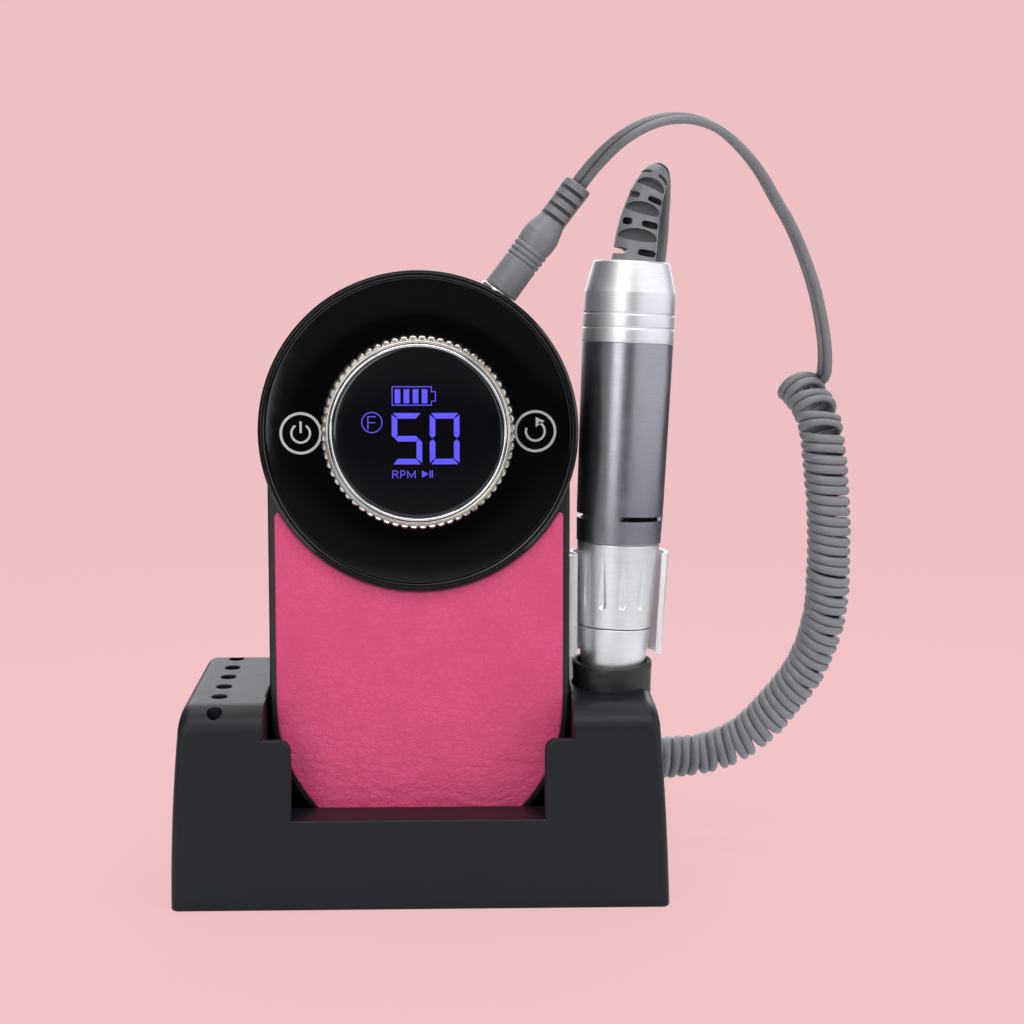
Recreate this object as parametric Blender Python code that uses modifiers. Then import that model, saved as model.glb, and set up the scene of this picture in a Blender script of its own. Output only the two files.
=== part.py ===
"""Electric nail drill: control unit and handpiece standing in a desktop dock.

Blender 4.5 script. Every length below is in millimetres and is scaled to metres where geometry is made.
The origin is on the table under the middle of the object. +Z is up, -Y faces the user and +X is the
user's right. Profiles of turned pieces run down their outer side, from top to bottom.
"""

import math

import bmesh
import bpy
from mathutils import Euler, Matrix, Vector

MM = 0.001
GAP = 0.3  # air between two pieces that touch
MERGE = 0.00001

# Dock
DOCK_LEFT, DOCK_RIGHT = -69.7, 67.7
DOCK_DEPTH = 59.0
DOCK_BOTTOM = 0.6
DOCK_TOP = 58.4  # height of the arm tops over the origin
DOCK_SLOPE = math.radians(5.0)  # the arm tops rise towards the back
DOCK_WALL = 2.2
DOCK_TOP_RADIUS = 6.0
DOCK_SIDE_RADIUS = 3.4
DOCK_EDGE_RADIUS = 2.0
SLOT_LEFT, SLOT_RIGHT = -44.2, 41.0
SLOT_FRONT, SLOT_BACK = -15.2, 12.3
SLOT_FLOOR = 14.8
WINDOW_LEFT, WINDOW_RIGHT = -36.4, 33.0
LEDGE_TOP, LIP_TOP, LIP_RADIUS = 25.2, 47.5, 3.2
BIT_HOLES, BIT_PITCH, BIT_RADIUS, BIT_DEPTH = 6, 10.1, 2.1, 20.0
BIT_X = -57.3
FOOT_RADIUS, FOOT_HEIGHT = 4.6, 1.0
FOOT_SPOTS = {"front_left": (-61.0, -22.0), "front_right": (59.6, -22.0),
              "back_left": (-61.0, 22.0), "back_right": (59.6, 22.0)}
BASE_SCREW_SPOTS = ((-49.0, -21.5), (46.5, -22.0), (-49.0, 22.0), (46.5, 22.0))

# Control unit
UNIT_X = -1.4
UNIT_HALF = 42.0
UNIT_BOTTOM = 15.1
HEAD_Z, HEAD_RADIUS = 131.0, 44.2
SIDE_BEND_Z, SIDE_BEND_RADIUS = 54.2, 45.5
TOE_RADIUS = 12.0
UNIT_FRONT, UNIT_SEAM, UNIT_BACK = -14.0, -3.8, 11.5
UNIT_WALL = 2.0
LEATHER_INSET, LEATHER_TOP = 1.7, 107.0
PLATE_FRONT = -16.6
KNOB_RADIUS, KNOB_INNER, KNOB_FRONT = 26.5, 24.4, -23.9
LENS_RADIUS = 22.8
CELL_RADIUS, CELL_LENGTH = 9.1, 65.0
UNIT_SCREWS = {"lower_left": (-33.0, 74.0), "lower_right": (33.0, 74.0),
               "upper_left": (-27.5, 157.5), "upper_right": (31.0, 150.0)}

# Handpiece. Its axis leans to the right; lengths along it are counted up from the tip of the nose.
TIP = Vector((53.1, -2.5, 48.0))
LEAN = math.radians(2.37)
SLOT_HEIGHT, SLOT_T, SLOT_ARC = 1.1, 56.9, math.radians(73.0)
COLLAR_X = 53.55
COLLAR_RADIUS, COLLAR_BORE, COLLAR_TOP = 11.4, 10.0, 64.8
CUP_RADIUS, CUP_BORE, CUP_TOP, CUP_FLOOR = 9.4, 8.0, 55.4, 45.6

# Cord
PLUG_END = Vector((21.8, -1.5, 170.3))  # where the overmould meets the jack
PLUG_LEAN = math.radians(36.6)
LEAD_WIDTH, LEAD_THICK = 4.7, 2.3
COIL_RADIUS, COIL_PITCH, COIL_TURNS, COIL_STEPS = 5.1, 5.95, 27, 9
COIL_START = math.radians(90.0)
COIL_STEP_TURN = math.radians(353.3)  # swept in each pitch, so that the last turn ends on top

HANDPIECE_TURN = Euler((0.0, LEAN, 0.0))
PLUG_TURN = Euler((0.0, PLUG_LEAN, 0.0))
TOWARDS_USER = Euler((math.pi / 2, 0.0, 0.0))  # a profile's +Z becomes -Y
TOWARDS_BACK = Euler((-math.pi / 2, 0.0, 0.0))


# ---------------------------------------------------------------- scene and collections

def clear_scene():
    for obj in list(bpy.data.objects):
        bpy.data.objects.remove(obj)


def new_collection(name):
    collection = bpy.data.collections.new(name)
    bpy.context.scene.collection.children.link(collection)
    return collection


clear_scene()
PARTS = new_collection("electric_nail_drill")
CUTTERS = new_collection("cutters")
CUTTERS.hide_render = True


def material(name, colour, roughness, metallic=0.0, alpha=1.0):
    mat = bpy.data.materials.new(name)
    mat.use_nodes = True
    shader = mat.node_tree.nodes["Principled BSDF"]
    shader.inputs["Base Color"].default_value = (*colour, 1.0)
    shader.inputs["Roughness"].default_value = roughness
    shader.inputs["Metallic"].default_value = metallic
    shader.inputs["Alpha"].default_value = alpha
    mat.diffuse_color = (*colour, alpha)
    return mat


CHARCOAL = (0.028, 0.031, 0.037)
BLACK = (0.008, 0.008, 0.009)
SILVER = (0.78, 0.79, 0.81)
GREY = (0.29, 0.30, 0.31)
STEEL = (0.56, 0.56, 0.57)
GREEN = (0.02, 0.16, 0.07)
FINISHES = {
    "dock": (CHARCOAL, 0.55, 0.0, 1.0),
    "rubber": ((0.015, 0.015, 0.015), 0.85, 0.0, 1.0),
    "steel": (STEEL, 0.3, 1.0, 1.0),
    "satin_black": (BLACK, 0.35, 0.0, 1.0),
    "gloss_black": (BLACK, 0.06, 0.0, 1.0),
    "leather": ((0.69, 0.080, 0.215), 0.6, 0.0, 1.0),
    "chrome": ((0.82, 0.81, 0.79), 0.12, 1.0, 1.0),
    "lens": ((0.004, 0.004, 0.006), 0.04, 0.0, 1.0),
    "nylon": ((0.75, 0.74, 0.70), 0.5, 0.0, 1.0),
    "board": (GREEN, 0.5, 0.0, 1.0),
    "cell": ((0.05, 0.16, 0.42), 0.4, 0.0, 1.0),
    "clear": ((0.85, 0.87, 0.90), 0.1, 0.0, 0.35),
    "cord": (GREY, 0.5, 0.0, 1.0),
    "silver": (SILVER, 0.3, 1.0, 1.0),
    "gunmetal": ((0.16, 0.16, 0.18), 0.38, 1.0, 1.0),
    "brass": ((0.72, 0.52, 0.22), 0.3, 1.0, 1.0),
}


# ---------------------------------------------------------------- building blocks

def as_piece(obj, name, finish):
    """Puts a mesh object among the parts, with its own material."""
    obj.name = name
    obj.data.name = name
    for owner in list(obj.users_collection):
        owner.objects.unlink(obj)
    PARTS.objects.link(obj)
    obj.data.materials.clear()
    obj.data.materials.append(material(name, *FINISHES[finish]))
    return obj


def as_cutter(obj):
    for owner in list(obj.users_collection):
        owner.objects.unlink(obj)
    CUTTERS.objects.link(obj)
    obj.hide_render = True
    obj.display_type = "WIRE"
    return obj


def smooth(obj, angle=30.0):
    obj.data.shade_smooth()
    obj.data.set_sharp_from_angle(angle=math.radians(angle))
    return obj


def object_of(bm, name):
    bmesh.ops.recalc_face_normals(bm, faces=bm.faces)
    mesh = bpy.data.meshes.new(name)
    bm.to_mesh(mesh)
    bm.free()
    obj = bpy.data.objects.new(name, mesh)
    PARTS.objects.link(obj)
    return obj


def mesh_of_curve(obj, weld=MERGE):
    """The curve or modified object as a closed mesh in world space; the original is removed."""
    bpy.context.view_layer.update()
    graph = bpy.context.evaluated_depsgraph_get()
    mesh = bpy.data.meshes.new_from_object(obj.evaluated_get(graph))
    mesh.transform(obj.matrix_world)
    name = obj.name
    bpy.data.objects.remove(obj)
    bm = bmesh.new()
    bm.from_mesh(mesh)
    bpy.data.meshes.remove(mesh)
    bmesh.ops.remove_doubles(bm, verts=bm.verts, dist=weld)
    return object_of(bm, name)


def box(name, low, high, bevel=0.0):
    bm = bmesh.new()
    bmesh.ops.create_cube(bm, size=1.0)
    low, high = Vector(low) * MM, Vector(high) * MM
    bmesh.ops.scale(bm, vec=high - low, verts=bm.verts)
    bmesh.ops.translate(bm, vec=(low + high) / 2, verts=bm.verts)
    obj = object_of(bm, name)
    if bevel:
        add_bevel(obj, bevel)
    return obj


def add_bevel(obj, width, segments=2, angle=40.0):
    bevel = obj.modifiers.new("round_edges", "BEVEL")
    bevel.width = width * MM
    bevel.segments = segments
    bevel.limit_method = "ANGLE"
    bevel.angle_limit = math.radians(angle)
    return obj


def extruded(name, outline, front, back):
    """A flat outline of (x, z) points standing upright, from y = front to y = back."""
    curve = bpy.data.curves.new(name, "CURVE")
    curve.dimensions = "2D"
    curve.fill_mode = "BOTH"
    curve.extrude = (back - front) / 2 * MM
    spline = curve.splines.new("POLY")
    spline.points.add(len(outline) - 1)
    for point, (x, z) in zip(spline.points, outline):
        point.co = (x * MM, z * MM, 0.0, 1.0)
    spline.use_cyclic_u = True
    obj = bpy.data.objects.new(name, curve)
    PARTS.objects.link(obj)
    obj.rotation_euler = TOWARDS_USER
    obj.location = (0.0, (front + back) / 2 * MM, 0.0)
    return mesh_of_curve(obj)


def turned(name, profile, base, turn=None, steps=32, ring=False):
    """A profile of (radius, height) points turned about an axis. base is the axis's zero height.

    A ring's profile is a loop that comes back up its inner side; any other starts and ends on the axis.
    """
    bm = bmesh.new()
    verts = [bm.verts.new((radius * MM, 0.0, height * MM)) for radius, height in profile]
    for first, second in zip(verts, verts[1:] + verts[:1] if ring else verts[1:]):
        bm.edges.new((first, second))
    mesh = bpy.data.meshes.new(name)
    bm.to_mesh(mesh)
    bm.free()
    obj = bpy.data.objects.new(name, mesh)
    PARTS.objects.link(obj)
    screw = obj.modifiers.new("turn", "SCREW")
    screw.steps = steps
    screw.render_steps = steps
    screw.use_merge_vertices = True
    screw.merge_threshold = MERGE
    obj.location = Vector(base) * MM
    obj.rotation_euler = turn or Euler((0.0, 0.0, 0.0))
    return mesh_of_curve(obj)


def cylinder(name, base, turn, radius, low, high, steps=32, chamfer=0.0):
    edge = radius - chamfer
    profile = [(0.0, high), (edge, high), (radius, high - chamfer),
               (radius, low + chamfer), (edge, low), (0.0, low)]
    if not chamfer:
        profile = [(0.0, high), (radius, high), (radius, low), (0.0, low)]
    return turned(name, profile, base, turn, steps)


def tube(name, base, turn, outer, inner, low, high, steps=32):
    profile = [(inner, high), (outer, high), (outer, low), (inner, low)]
    return turned(name, profile, base, turn, steps, ring=True)


def boolean(obj, other, operation):
    modifier = obj.modifiers.new(operation.lower(), "BOOLEAN")
    modifier.operation = operation
    modifier.object = as_cutter(other)
    modifier.solver = "EXACT"
    return obj


def cut(obj, *others):
    for other in others:
        boolean(obj, other, "DIFFERENCE")
    return obj


def join(obj, *others):
    for other in others:
        boolean(obj, other, "UNION")
    return obj


def arc(centre_x, centre_z, radius, start, end, steps):
    """Points on an arc, angles in degrees counter-clockwise from +X."""
    angles = [math.radians(start + (end - start) * i / steps) for i in range(steps + 1)]
    return [(centre_x + radius * math.cos(a), centre_z + radius * math.sin(a)) for a in angles]


# ---------------------------------------------------------------- dock

def side_inset(z, linear, square):
    """How far a side wall of the dock has drawn in at height z."""
    share = max(z, 0.0) / 47.0
    return linear * share + square * share * share


def dock_front_outline(inset):
    """Front view of the dock's outside, in from it by inset, before its top is sloped."""
    radius = DOCK_SIDE_RADIUS - inset if inset < 2.0 else 1.4
    top = DOCK_TOP - inset
    heights = [-8.0] + [top * i / 8 for i in range(1, 7)] + [top - radius]
    right = [(DOCK_RIGHT - inset - side_inset(z, 1.3, 1.3), z) for z in heights]
    left = [(DOCK_LEFT + inset + side_inset(z, 0.0, 2.2), z) for z in heights]
    right_corner = arc(right[-1][0] - radius, top - radius, radius, 8, 90, 5)
    left_corner = arc(left[-1][0] + radius, top - radius, radius, 90, 172, 5)
    return right + right_corner + left_corner + left[::-1]


def dock_side_outline(inset, bottom):
    """Side view (y, z) of the dock with its sloped top and rounded front and back shoulders."""
    half = DOCK_DEPTH / 2 - inset
    top = DOCK_TOP - inset
    slope = math.degrees(DOCK_SLOPE)
    radius = DOCK_TOP_RADIUS - inset

    def shoulder(side):
        """The arc tangent to a vertical wall and the sloped top."""
        y = side * (half - radius)
        z = top + y * math.tan(DOCK_SLOPE) - radius / math.cos(DOCK_SLOPE)
        start, end = (0, 90 + slope) if side > 0 else (90 + slope, 180)
        return arc(y, z, radius, start, end, 7)

    return [(half, bottom)] + shoulder(1) + shoulder(-1) + [(-half, bottom)]


def dock_block(name, inset, bottom, rounding):
    """The dock's outside as a solid block, drawn in all round by inset."""
    half = DOCK_DEPTH / 2 - inset
    block = extruded(name, dock_front_outline(inset), -half, half)
    for vertex in block.data.vertices:
        vertex.co.z += vertex.co.y * math.tan(DOCK_SLOPE)
    if rounding:
        add_bevel(block, rounding, 2, 60.0)
    side = extruded(name + "_side", dock_side_outline(inset, bottom), -80.0, 80.0)
    side.data.transform(Matrix.Rotation(math.pi / 2, 4, "Z"))
    return boolean(block, side, "INTERSECT")


def window_outline(margin=0.0):
    """The cut-out of the front wall, with a lip at each side of it; a margin widens it."""
    left, right = WINDOW_LEFT - margin, WINDOW_RIGHT + margin
    lip, ledge = LIP_TOP - margin, LEDGE_TOP - margin
    slot_left, slot_right = SLOT_LEFT - margin, SLOT_RIGHT + margin
    return ([(left, ledge)] + [(right, ledge)]
            + arc(right + LIP_RADIUS, lip - LIP_RADIUS, LIP_RADIUS, 180, 90, 5)
            + [(slot_right, lip), (slot_right, 80.0), (slot_left, 80.0), (slot_left, lip)]
            + arc(left - LIP_RADIUS, lip - LIP_RADIUS, LIP_RADIUS, 90, 0, 5))


def bit_spot(index):
    """(y, z) of a bit hole's mouth on the sloped top of the left arm."""
    y = BIT_PITCH * (index - (BIT_HOLES - 1) / 2)
    return y, DOCK_TOP + y * math.tan(DOCK_SLOPE)


def bit_cutter(index):
    """A blind bore square to the sloped top. The first and last ones are cut into the round shoulders."""
    y, z = bit_spot(index)
    turn = Euler((DOCK_SLOPE, 0.0, 0.0))
    return cylinder(f"bit_bore_{index}", (BIT_X, y, z), turn, BIT_RADIUS, -BIT_DEPTH, 4.0, 14)


def make_dock_shell():
    shell = dock_block("dock_shell", 0.0, DOCK_BOTTOM, DOCK_EDGE_RADIUS)
    hollow = dock_block("dock_hollow", DOCK_WALL, -5.0, 0.0)
    wall = DOCK_WALL
    # The hollow stops short of the slot, the window, the bit bores and the screw posts.
    keep_slot = box("keep_slot", (SLOT_LEFT - wall, SLOT_FRONT - wall, SLOT_FLOOR - wall),
                    (SLOT_RIGHT + wall, SLOT_BACK + wall, 90.0))
    keep_window = extruded("keep_window", window_outline(wall), -60.0, SLOT_FRONT)
    keep_bits = box("keep_bits", (BIT_X - BIT_RADIUS - 1.6, -40.0, DOCK_TOP - BIT_DEPTH - 4.5),
                    (BIT_X + BIT_RADIUS + 1.6, 40.0, 90.0))
    cut(hollow, keep_slot, keep_window, keep_bits)
    for x, y in BASE_SCREW_SPOTS:
        cut(hollow, cylinder("keep_post", (x, y, 0.0), None, 3.0, 3.1, 90.0, 12))
    slot = box("slot", (SLOT_LEFT, SLOT_FRONT, SLOT_FLOOR), (SLOT_RIGHT, SLOT_BACK, 90.0))
    window = extruded("window", window_outline(), -60.0, SLOT_FRONT + 1.0)
    cut(shell, hollow, slot, window)
    cut(shell, cylinder("collar_hole", (COLLAR_X, TIP.y, 0.0), None, CUP_RADIUS + GAP, 30.0, 90.0, 24),
        cylinder("collar_seat", (COLLAR_X, TIP.y, 0.0), None, COLLAR_RADIUS + GAP, CUP_TOP - GAP, 90.0, 28))
    for x, y in BASE_SCREW_SPOTS:
        cut(shell, cylinder("post_bore", (x, y, 0.0), None, 1.4, -5.0, 14.0, 8))
    for index in range(BIT_HOLES):
        cut(shell, bit_cutter(index))
    return smooth(as_piece(shell, "dock_shell", "dock"))


def make_base_plate():
    plate = box("base_plate", (DOCK_LEFT + 3.2, -DOCK_DEPTH / 2 + 2.6, 0.6),
                (DOCK_RIGHT - 3.2, DOCK_DEPTH / 2 - 2.6, 2.7))
    add_bevel(plate, 1.5, 2)
    for x, y in BASE_SCREW_SPOTS:
        screw_hole = turned("base_screw_hole", [(0.0, 6.0), (1.6, 6.0), (1.6, 2.0), (2.9, 2.0),
                                                (2.9, -3.0), (0.0, -3.0)], (x, y, 0.0), None, 10)
        cut(plate, screw_hole)
    for x, y in FOOT_SPOTS.values():
        cut(plate, cylinder("foot_recess", (x, y, 0.0), None, FOOT_RADIUS + GAP, -3.0, 1.3, 14))
    return as_piece(plate, "base_plate", "satin_black")


def make_feet():
    for place, (x, y) in FOOT_SPOTS.items():
        foot = cylinder("foot", (x, y, 0.0), None, FOOT_RADIUS, 0.0, FOOT_HEIGHT, 14, 0.2)
        smooth(as_piece(foot, "foot_" + place, "rubber"))


def make_screw(name, base, turn, head, shank, length, steps=8):
    """A pan-head screw. Its head starts at height 0 and its shank runs down to -length."""
    profile = [(0.0, 1.2), (head * 0.75, 1.2), (head, 0.7), (head, 0.0), (shank, 0.0),
               (shank, 0.8 - length), (shank * 0.4, -length), (0.0, -length)]
    screw = turned(name, profile, base, turn, steps)
    return smooth(as_piece(screw, name, "steel"))


def make_base_screws():
    for number, (x, y) in enumerate(BASE_SCREW_SPOTS, 1):
        make_screw(f"base_screw_{number}", (x, y, 1.7), Euler((math.pi, 0.0, 0.0)), 2.5, 1.1, 9.0)


def make_handpiece_collar():
    """A cup the nose stands in. Its rim follows the slope of the arm top and its foot is narrower."""
    lip = 0.35
    profile = [(COLLAR_BORE, COLLAR_TOP), (COLLAR_RADIUS - 0.5, COLLAR_TOP),
               (COLLAR_RADIUS, COLLAR_TOP - 0.5), (COLLAR_RADIUS, COLLAR_TOP - 1.4),
               (COLLAR_RADIUS - lip, COLLAR_TOP - 1.8), (COLLAR_RADIUS - lip, CUP_TOP),
               (CUP_RADIUS, CUP_TOP), (CUP_RADIUS, CUP_FLOOR - 1.6),
               (3.0, CUP_FLOOR - 1.6), (3.0, CUP_FLOOR), (CUP_BORE, CUP_FLOOR),
               (CUP_BORE, CUP_TOP), (COLLAR_BORE, CUP_TOP + 2.0)]
    collar = turned("handpiece_collar", profile, (COLLAR_X, TIP.y, 0.0), None, 28, ring=True)
    for vertex in collar.data.vertices:
        if vertex.co.z > (CUP_TOP + 3.0) * MM:
            vertex.co.z += (vertex.co.y - TIP.y * MM) * math.tan(DOCK_SLOPE)
    return smooth(as_piece(collar, "handpiece_collar", "satin_black"))


# ---------------------------------------------------------------- control unit

def foot_arcs(inset, side):
    """The lower corner of the unit's outline: a long gentle bend, then a tighter toe."""
    centre_x = UNIT_X + side * (UNIT_HALF - SIDE_BEND_RADIUS)
    reach = SIDE_BEND_RADIUS - TOE_RADIUS
    turn = math.degrees(math.asin((SIDE_BEND_Z - UNIT_BOTTOM - TOE_RADIUS) / reach))
    toe_x = centre_x + side * reach * math.cos(math.radians(turn))
    toe_z = UNIT_BOTTOM + TOE_RADIUS
    start = 0.0 if side > 0 else 180.0
    bend = arc(centre_x, SIDE_BEND_Z, SIDE_BEND_RADIUS - inset, start, start - side * turn, 5)
    toe = arc(toe_x, toe_z, TOE_RADIUS - inset, start - side * turn, start - side * 90.0, 5)
    return bend + toe[1:]


def unit_outline(inset, steps=32):
    """Front view of the unit: a round head on a body with a rounded foot, in from it by inset."""
    radius, half = HEAD_RADIUS - inset, UNIT_HALF - inset
    corner = math.degrees(math.acos(half / radius))
    head = arc(UNIT_X, HEAD_Z, radius, -corner, 180 + corner, steps)
    return head + foot_arcs(inset, -1) + foot_arcs(inset, 1)[::-1]


def leather_outline(inset, circle, top):
    """The body below the head: its top edge is an arc round the head."""
    half = UNIT_HALF - inset
    corner_x = math.sqrt(circle ** 2 - (HEAD_Z - top) ** 2)
    round_off = 1.4
    sweep = math.degrees(math.acos(corner_x / circle))
    over_head = arc(UNIT_X, HEAD_Z, circle, 180 + sweep, 360 - sweep, 18)
    right = [(UNIT_X + half - round_off, top), (UNIT_X + half, top - round_off)]
    left = [(UNIT_X - half, top - round_off), (UNIT_X - half + round_off, top)]
    return over_head + right + foot_arcs(inset, 1) + foot_arcs(inset, -1)[::-1] + left


def screw_post(x, z, radius, front, back, steps=12):
    return cylinder("post", (UNIT_X + x, 0.0, z), TOWARDS_USER, radius, -back, -front, steps)


def jack_hole(radius, low=-30.0, high=30.0):
    return cylinder("jack_hole", PLUG_END, PLUG_TURN, radius, low, high, 16)


def usb_hole():
    return box("socket_hole", (UNIT_X - UNIT_HALF - 5.0, -1.3, 96.1),
               (UNIT_X - UNIT_HALF + 5.0, 3.2, 105.9))


def make_front_housing():
    shell = extruded("front_housing", unit_outline(0.0), UNIT_FRONT, UNIT_SEAM)
    add_bevel(shell, 0.6, 1, 60.0)
    hollow = extruded("front_hollow", unit_outline(UNIT_WALL), UNIT_FRONT + UNIT_WALL, 20.0)
    for x, z in UNIT_SCREWS.values():
        cut(hollow, screw_post(x, z, 3.0, -20.0, 30.0))
    recess = extruded("leather_recess", leather_outline(LEATHER_INSET - 0.25, HEAD_RADIUS + 0.1,
                                                         LEATHER_TOP + 0.25), -30.0, UNIT_FRONT + 0.9)
    opening = cylinder("knob_opening", (UNIT_X, 0.0, HEAD_Z), TOWARDS_USER, 25.7, -20.0, 30.0, 48)
    cut(shell, hollow, recess, opening, jack_hole(4.9, -20.0, 20.0), jack_hole(6.4, -1.8, 10.0))
    for x, z in UNIT_SCREWS.values():
        cut(shell, screw_post(x, z, 1.4, UNIT_FRONT + 3.0, 30.0, 8))
    for z in (76.0, 89.0):
        cut(shell, cylinder("clip_hole", (UNIT_X + UNIT_HALF, -8.6, z), Euler((0.0, math.pi / 2, 0.0)),
                            1.6, -6.0, 6.0, 16))
    return smooth(as_piece(shell, "front_housing", "satin_black"))


def make_rear_housing():
    shell = extruded("rear_housing", unit_outline(0.0), UNIT_SEAM + GAP, UNIT_BACK)
    add_bevel(shell, 2.4, 2, 60.0)
    hollow = extruded("rear_hollow", unit_outline(UNIT_WALL), -30.0, UNIT_BACK - UNIT_WALL)
    cut(shell, hollow)
    for x, z in UNIT_SCREWS.values():
        hole = turned("housing_screw_hole", [(0.0, 3.0), (3.0, 3.0), (3.0, -1.3), (1.7, -1.3),
                                             (1.7, -9.0), (0.0, -9.0)],
                      (UNIT_X + x, UNIT_BACK, z), TOWARDS_BACK, 12)
        cut(shell, hole)
    cut(shell, jack_hole(4.9, -20.0, 20.0), jack_hole(6.4, -1.8, 10.0), usb_hole())
    return smooth(as_piece(shell, "rear_housing", "satin_black"))


def make_housing_screws():
    for place, (x, z) in UNIT_SCREWS.items():
        make_screw("housing_screw_" + place, (UNIT_X + x, UNIT_BACK - 1.0, z), TOWARDS_BACK, 2.6, 1.1, 18.0)


def head_axis(y=0.0):
    return (UNIT_X, y, HEAD_Z)


def make_head_bezel():
    front, back = -(PLATE_FRONT - 0.2), -(UNIT_FRONT - GAP)
    profile = [(42.4, front), (43.4, front), (HEAD_RADIUS, front - 0.8), (HEAD_RADIUS, back), (42.4, back)]
    bezel = turned("head_bezel", profile, head_axis(), TOWARDS_USER, 56, ring=True)
    return smooth(as_piece(bezel, "head_bezel", "satin_black"))


def make_face_plate():
    plate = tube("face_plate", head_axis(), TOWARDS_USER, 42.1, 25.7, -(UNIT_FRONT - GAP), -PLATE_FRONT, 56)
    return smooth(as_piece(plate, "face_plate", "gloss_black"))


def make_leather_panel():
    outline = leather_outline(LEATHER_INSET, HEAD_RADIUS + 0.5, LEATHER_TOP)
    panel = extruded("leather_panel", outline, UNIT_FRONT - 0.4, UNIT_FRONT + 0.6)
    return smooth(as_piece(panel, "leather_panel", "leather"))


def make_knob():
    """The dial ring, its skirt through the face, its bearing and the code ring that keeps it in."""
    front = -KNOB_FRONT
    profile = [(KNOB_INNER, front), (KNOB_RADIUS - 0.7, front), (KNOB_RADIUS, front - 0.8),
               (KNOB_RADIUS, front - 5.6), (KNOB_RADIUS - 0.5, -PLATE_FRONT + GAP),
               (25.3, -PLATE_FRONT + GAP),
               (25.3, 9.4), (KNOB_INNER, 9.4)]
    knob = turned("speed_knob", profile, head_axis(), TOWARDS_USER, 36, ring=True)
    smooth(as_piece(knob, "speed_knob", "chrome"))
    bearing = tube("knob_bearing", head_axis(), TOWARDS_USER, 28.4, 25.6, 9.8, 11.7, 28)
    smooth(as_piece(bearing, "knob_bearing", "nylon"))
    code = tube("encoder_ring", head_axis(), TOWARDS_USER, 28.6, KNOB_INNER, 8.2, 9.1, 28)
    smooth(as_piece(code, "encoder_ring", "nylon"))
    return knob


def make_display():
    """The lens, its chrome rim, the display behind it and the cup that carries them, pressed as one."""
    lens = turned("display_lens", [(0.0, 23.75), (12.0, 23.7), (19.0, 23.55), (22.1, 23.3),
                                   (LENS_RADIUS, 22.9), (LENS_RADIUS, 21.9), (0.0, 21.9)],
                  head_axis(), TOWARDS_USER, 32)
    smooth(as_piece(lens, "display_lens", "lens"))
    rim = turned("display_bezel", [(23.1, 24.1), (23.7, 24.3), (24.1, 23.8), (24.1, 20.6),
                                   (21.4, 20.6), (21.4, 21.6), (23.1, 21.6)],
                 head_axis(), TOWARDS_USER, 32, ring=True)
    smooth(as_piece(rim, "display_bezel", "chrome"))
    module = box("display_module", (UNIT_X - 16.0, -21.5, HEAD_Z - 13.0), (UNIT_X + 16.0, -19.0, HEAD_Z + 13.0))
    as_piece(module, "display_module", "lens")
    carrier = turned("display_carrier", [(0.0, 9.4), (21.6, 9.4), (21.6, 20.3), (24.1, 20.3), (24.1, 9.8),
                                         (23.7, 7.8), (0.0, 7.8)], head_axis(), TOWARDS_USER, 32)
    smooth(as_piece(carrier, "display_carrier", "satin_black"))


def make_electronics():
    board = cylinder("main_board", head_axis(), TOWARDS_USER, 33.0, 1.9, 3.5, 32)
    cut(board, jack_hole(5.0, -17.0, 4.0))
    as_piece(board, "main_board", "board")
    switch = box("push_switch", (UNIT_X - 3.0, -6.8, HEAD_Z - 3.0), (UNIT_X + 3.0, -3.8, HEAD_Z + 3.0))
    as_piece(switch, "push_switch", "steel")
    sensor = box("encoder_sensor", (UNIT_X - 2.5, -7.9, HEAD_Z - 28.0), (UNIT_X + 2.5, -3.8, HEAD_Z - 24.8))
    as_piece(sensor, "encoder_sensor", "satin_black")
    for place, side in (("left", -1), ("right", 1)):
        spot = (UNIT_X + side * (CELL_RADIUS + 0.5), -1.4, 26.0)
        cell = cylinder("cell", spot, None, CELL_RADIUS, 0.0, CELL_LENGTH, 20, 0.6)
        smooth(as_piece(cell, "battery_cell_" + place, "cell"))
    charge = box("charge_board", (UNIT_X - 39.5, -2.9, 94.0), (UNIT_X - 29.0, -1.5, 108.0))
    as_piece(charge, "charge_board", "board")
    socket = box("charging_socket", (UNIT_X - UNIT_HALF + 0.3, -0.9, 96.5), (UNIT_X - 35.5, 2.8, 105.5))
    add_bevel(socket, 0.6, 2)
    cavity = box("socket_mouth", (UNIT_X - UNIT_HALF - 2.0, -0.2, 97.2), (UNIT_X - 37.0, 2.1, 104.8))
    as_piece(cut(socket, cavity), "charging_socket", "steel")


def make_jack():
    """The socket for the handpiece cord and the nut that holds it in the rim of the head."""
    profile = [(2.1, -0.9), (3.7, -0.9), (3.7, -3.4), (4.5, -3.4), (4.5, -15.0), (2.1, -15.0)]
    jack = turned("handpiece_jack", profile, PLUG_END, PLUG_TURN, 24, ring=True)
    smooth(as_piece(jack, "handpiece_jack", "satin_black"))
    nut = tube("jack_nut", PLUG_END, PLUG_TURN, 6.1, 4.0, -1.5, -0.3, 24)
    smooth(as_piece(nut, "jack_nut", "chrome"))


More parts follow.
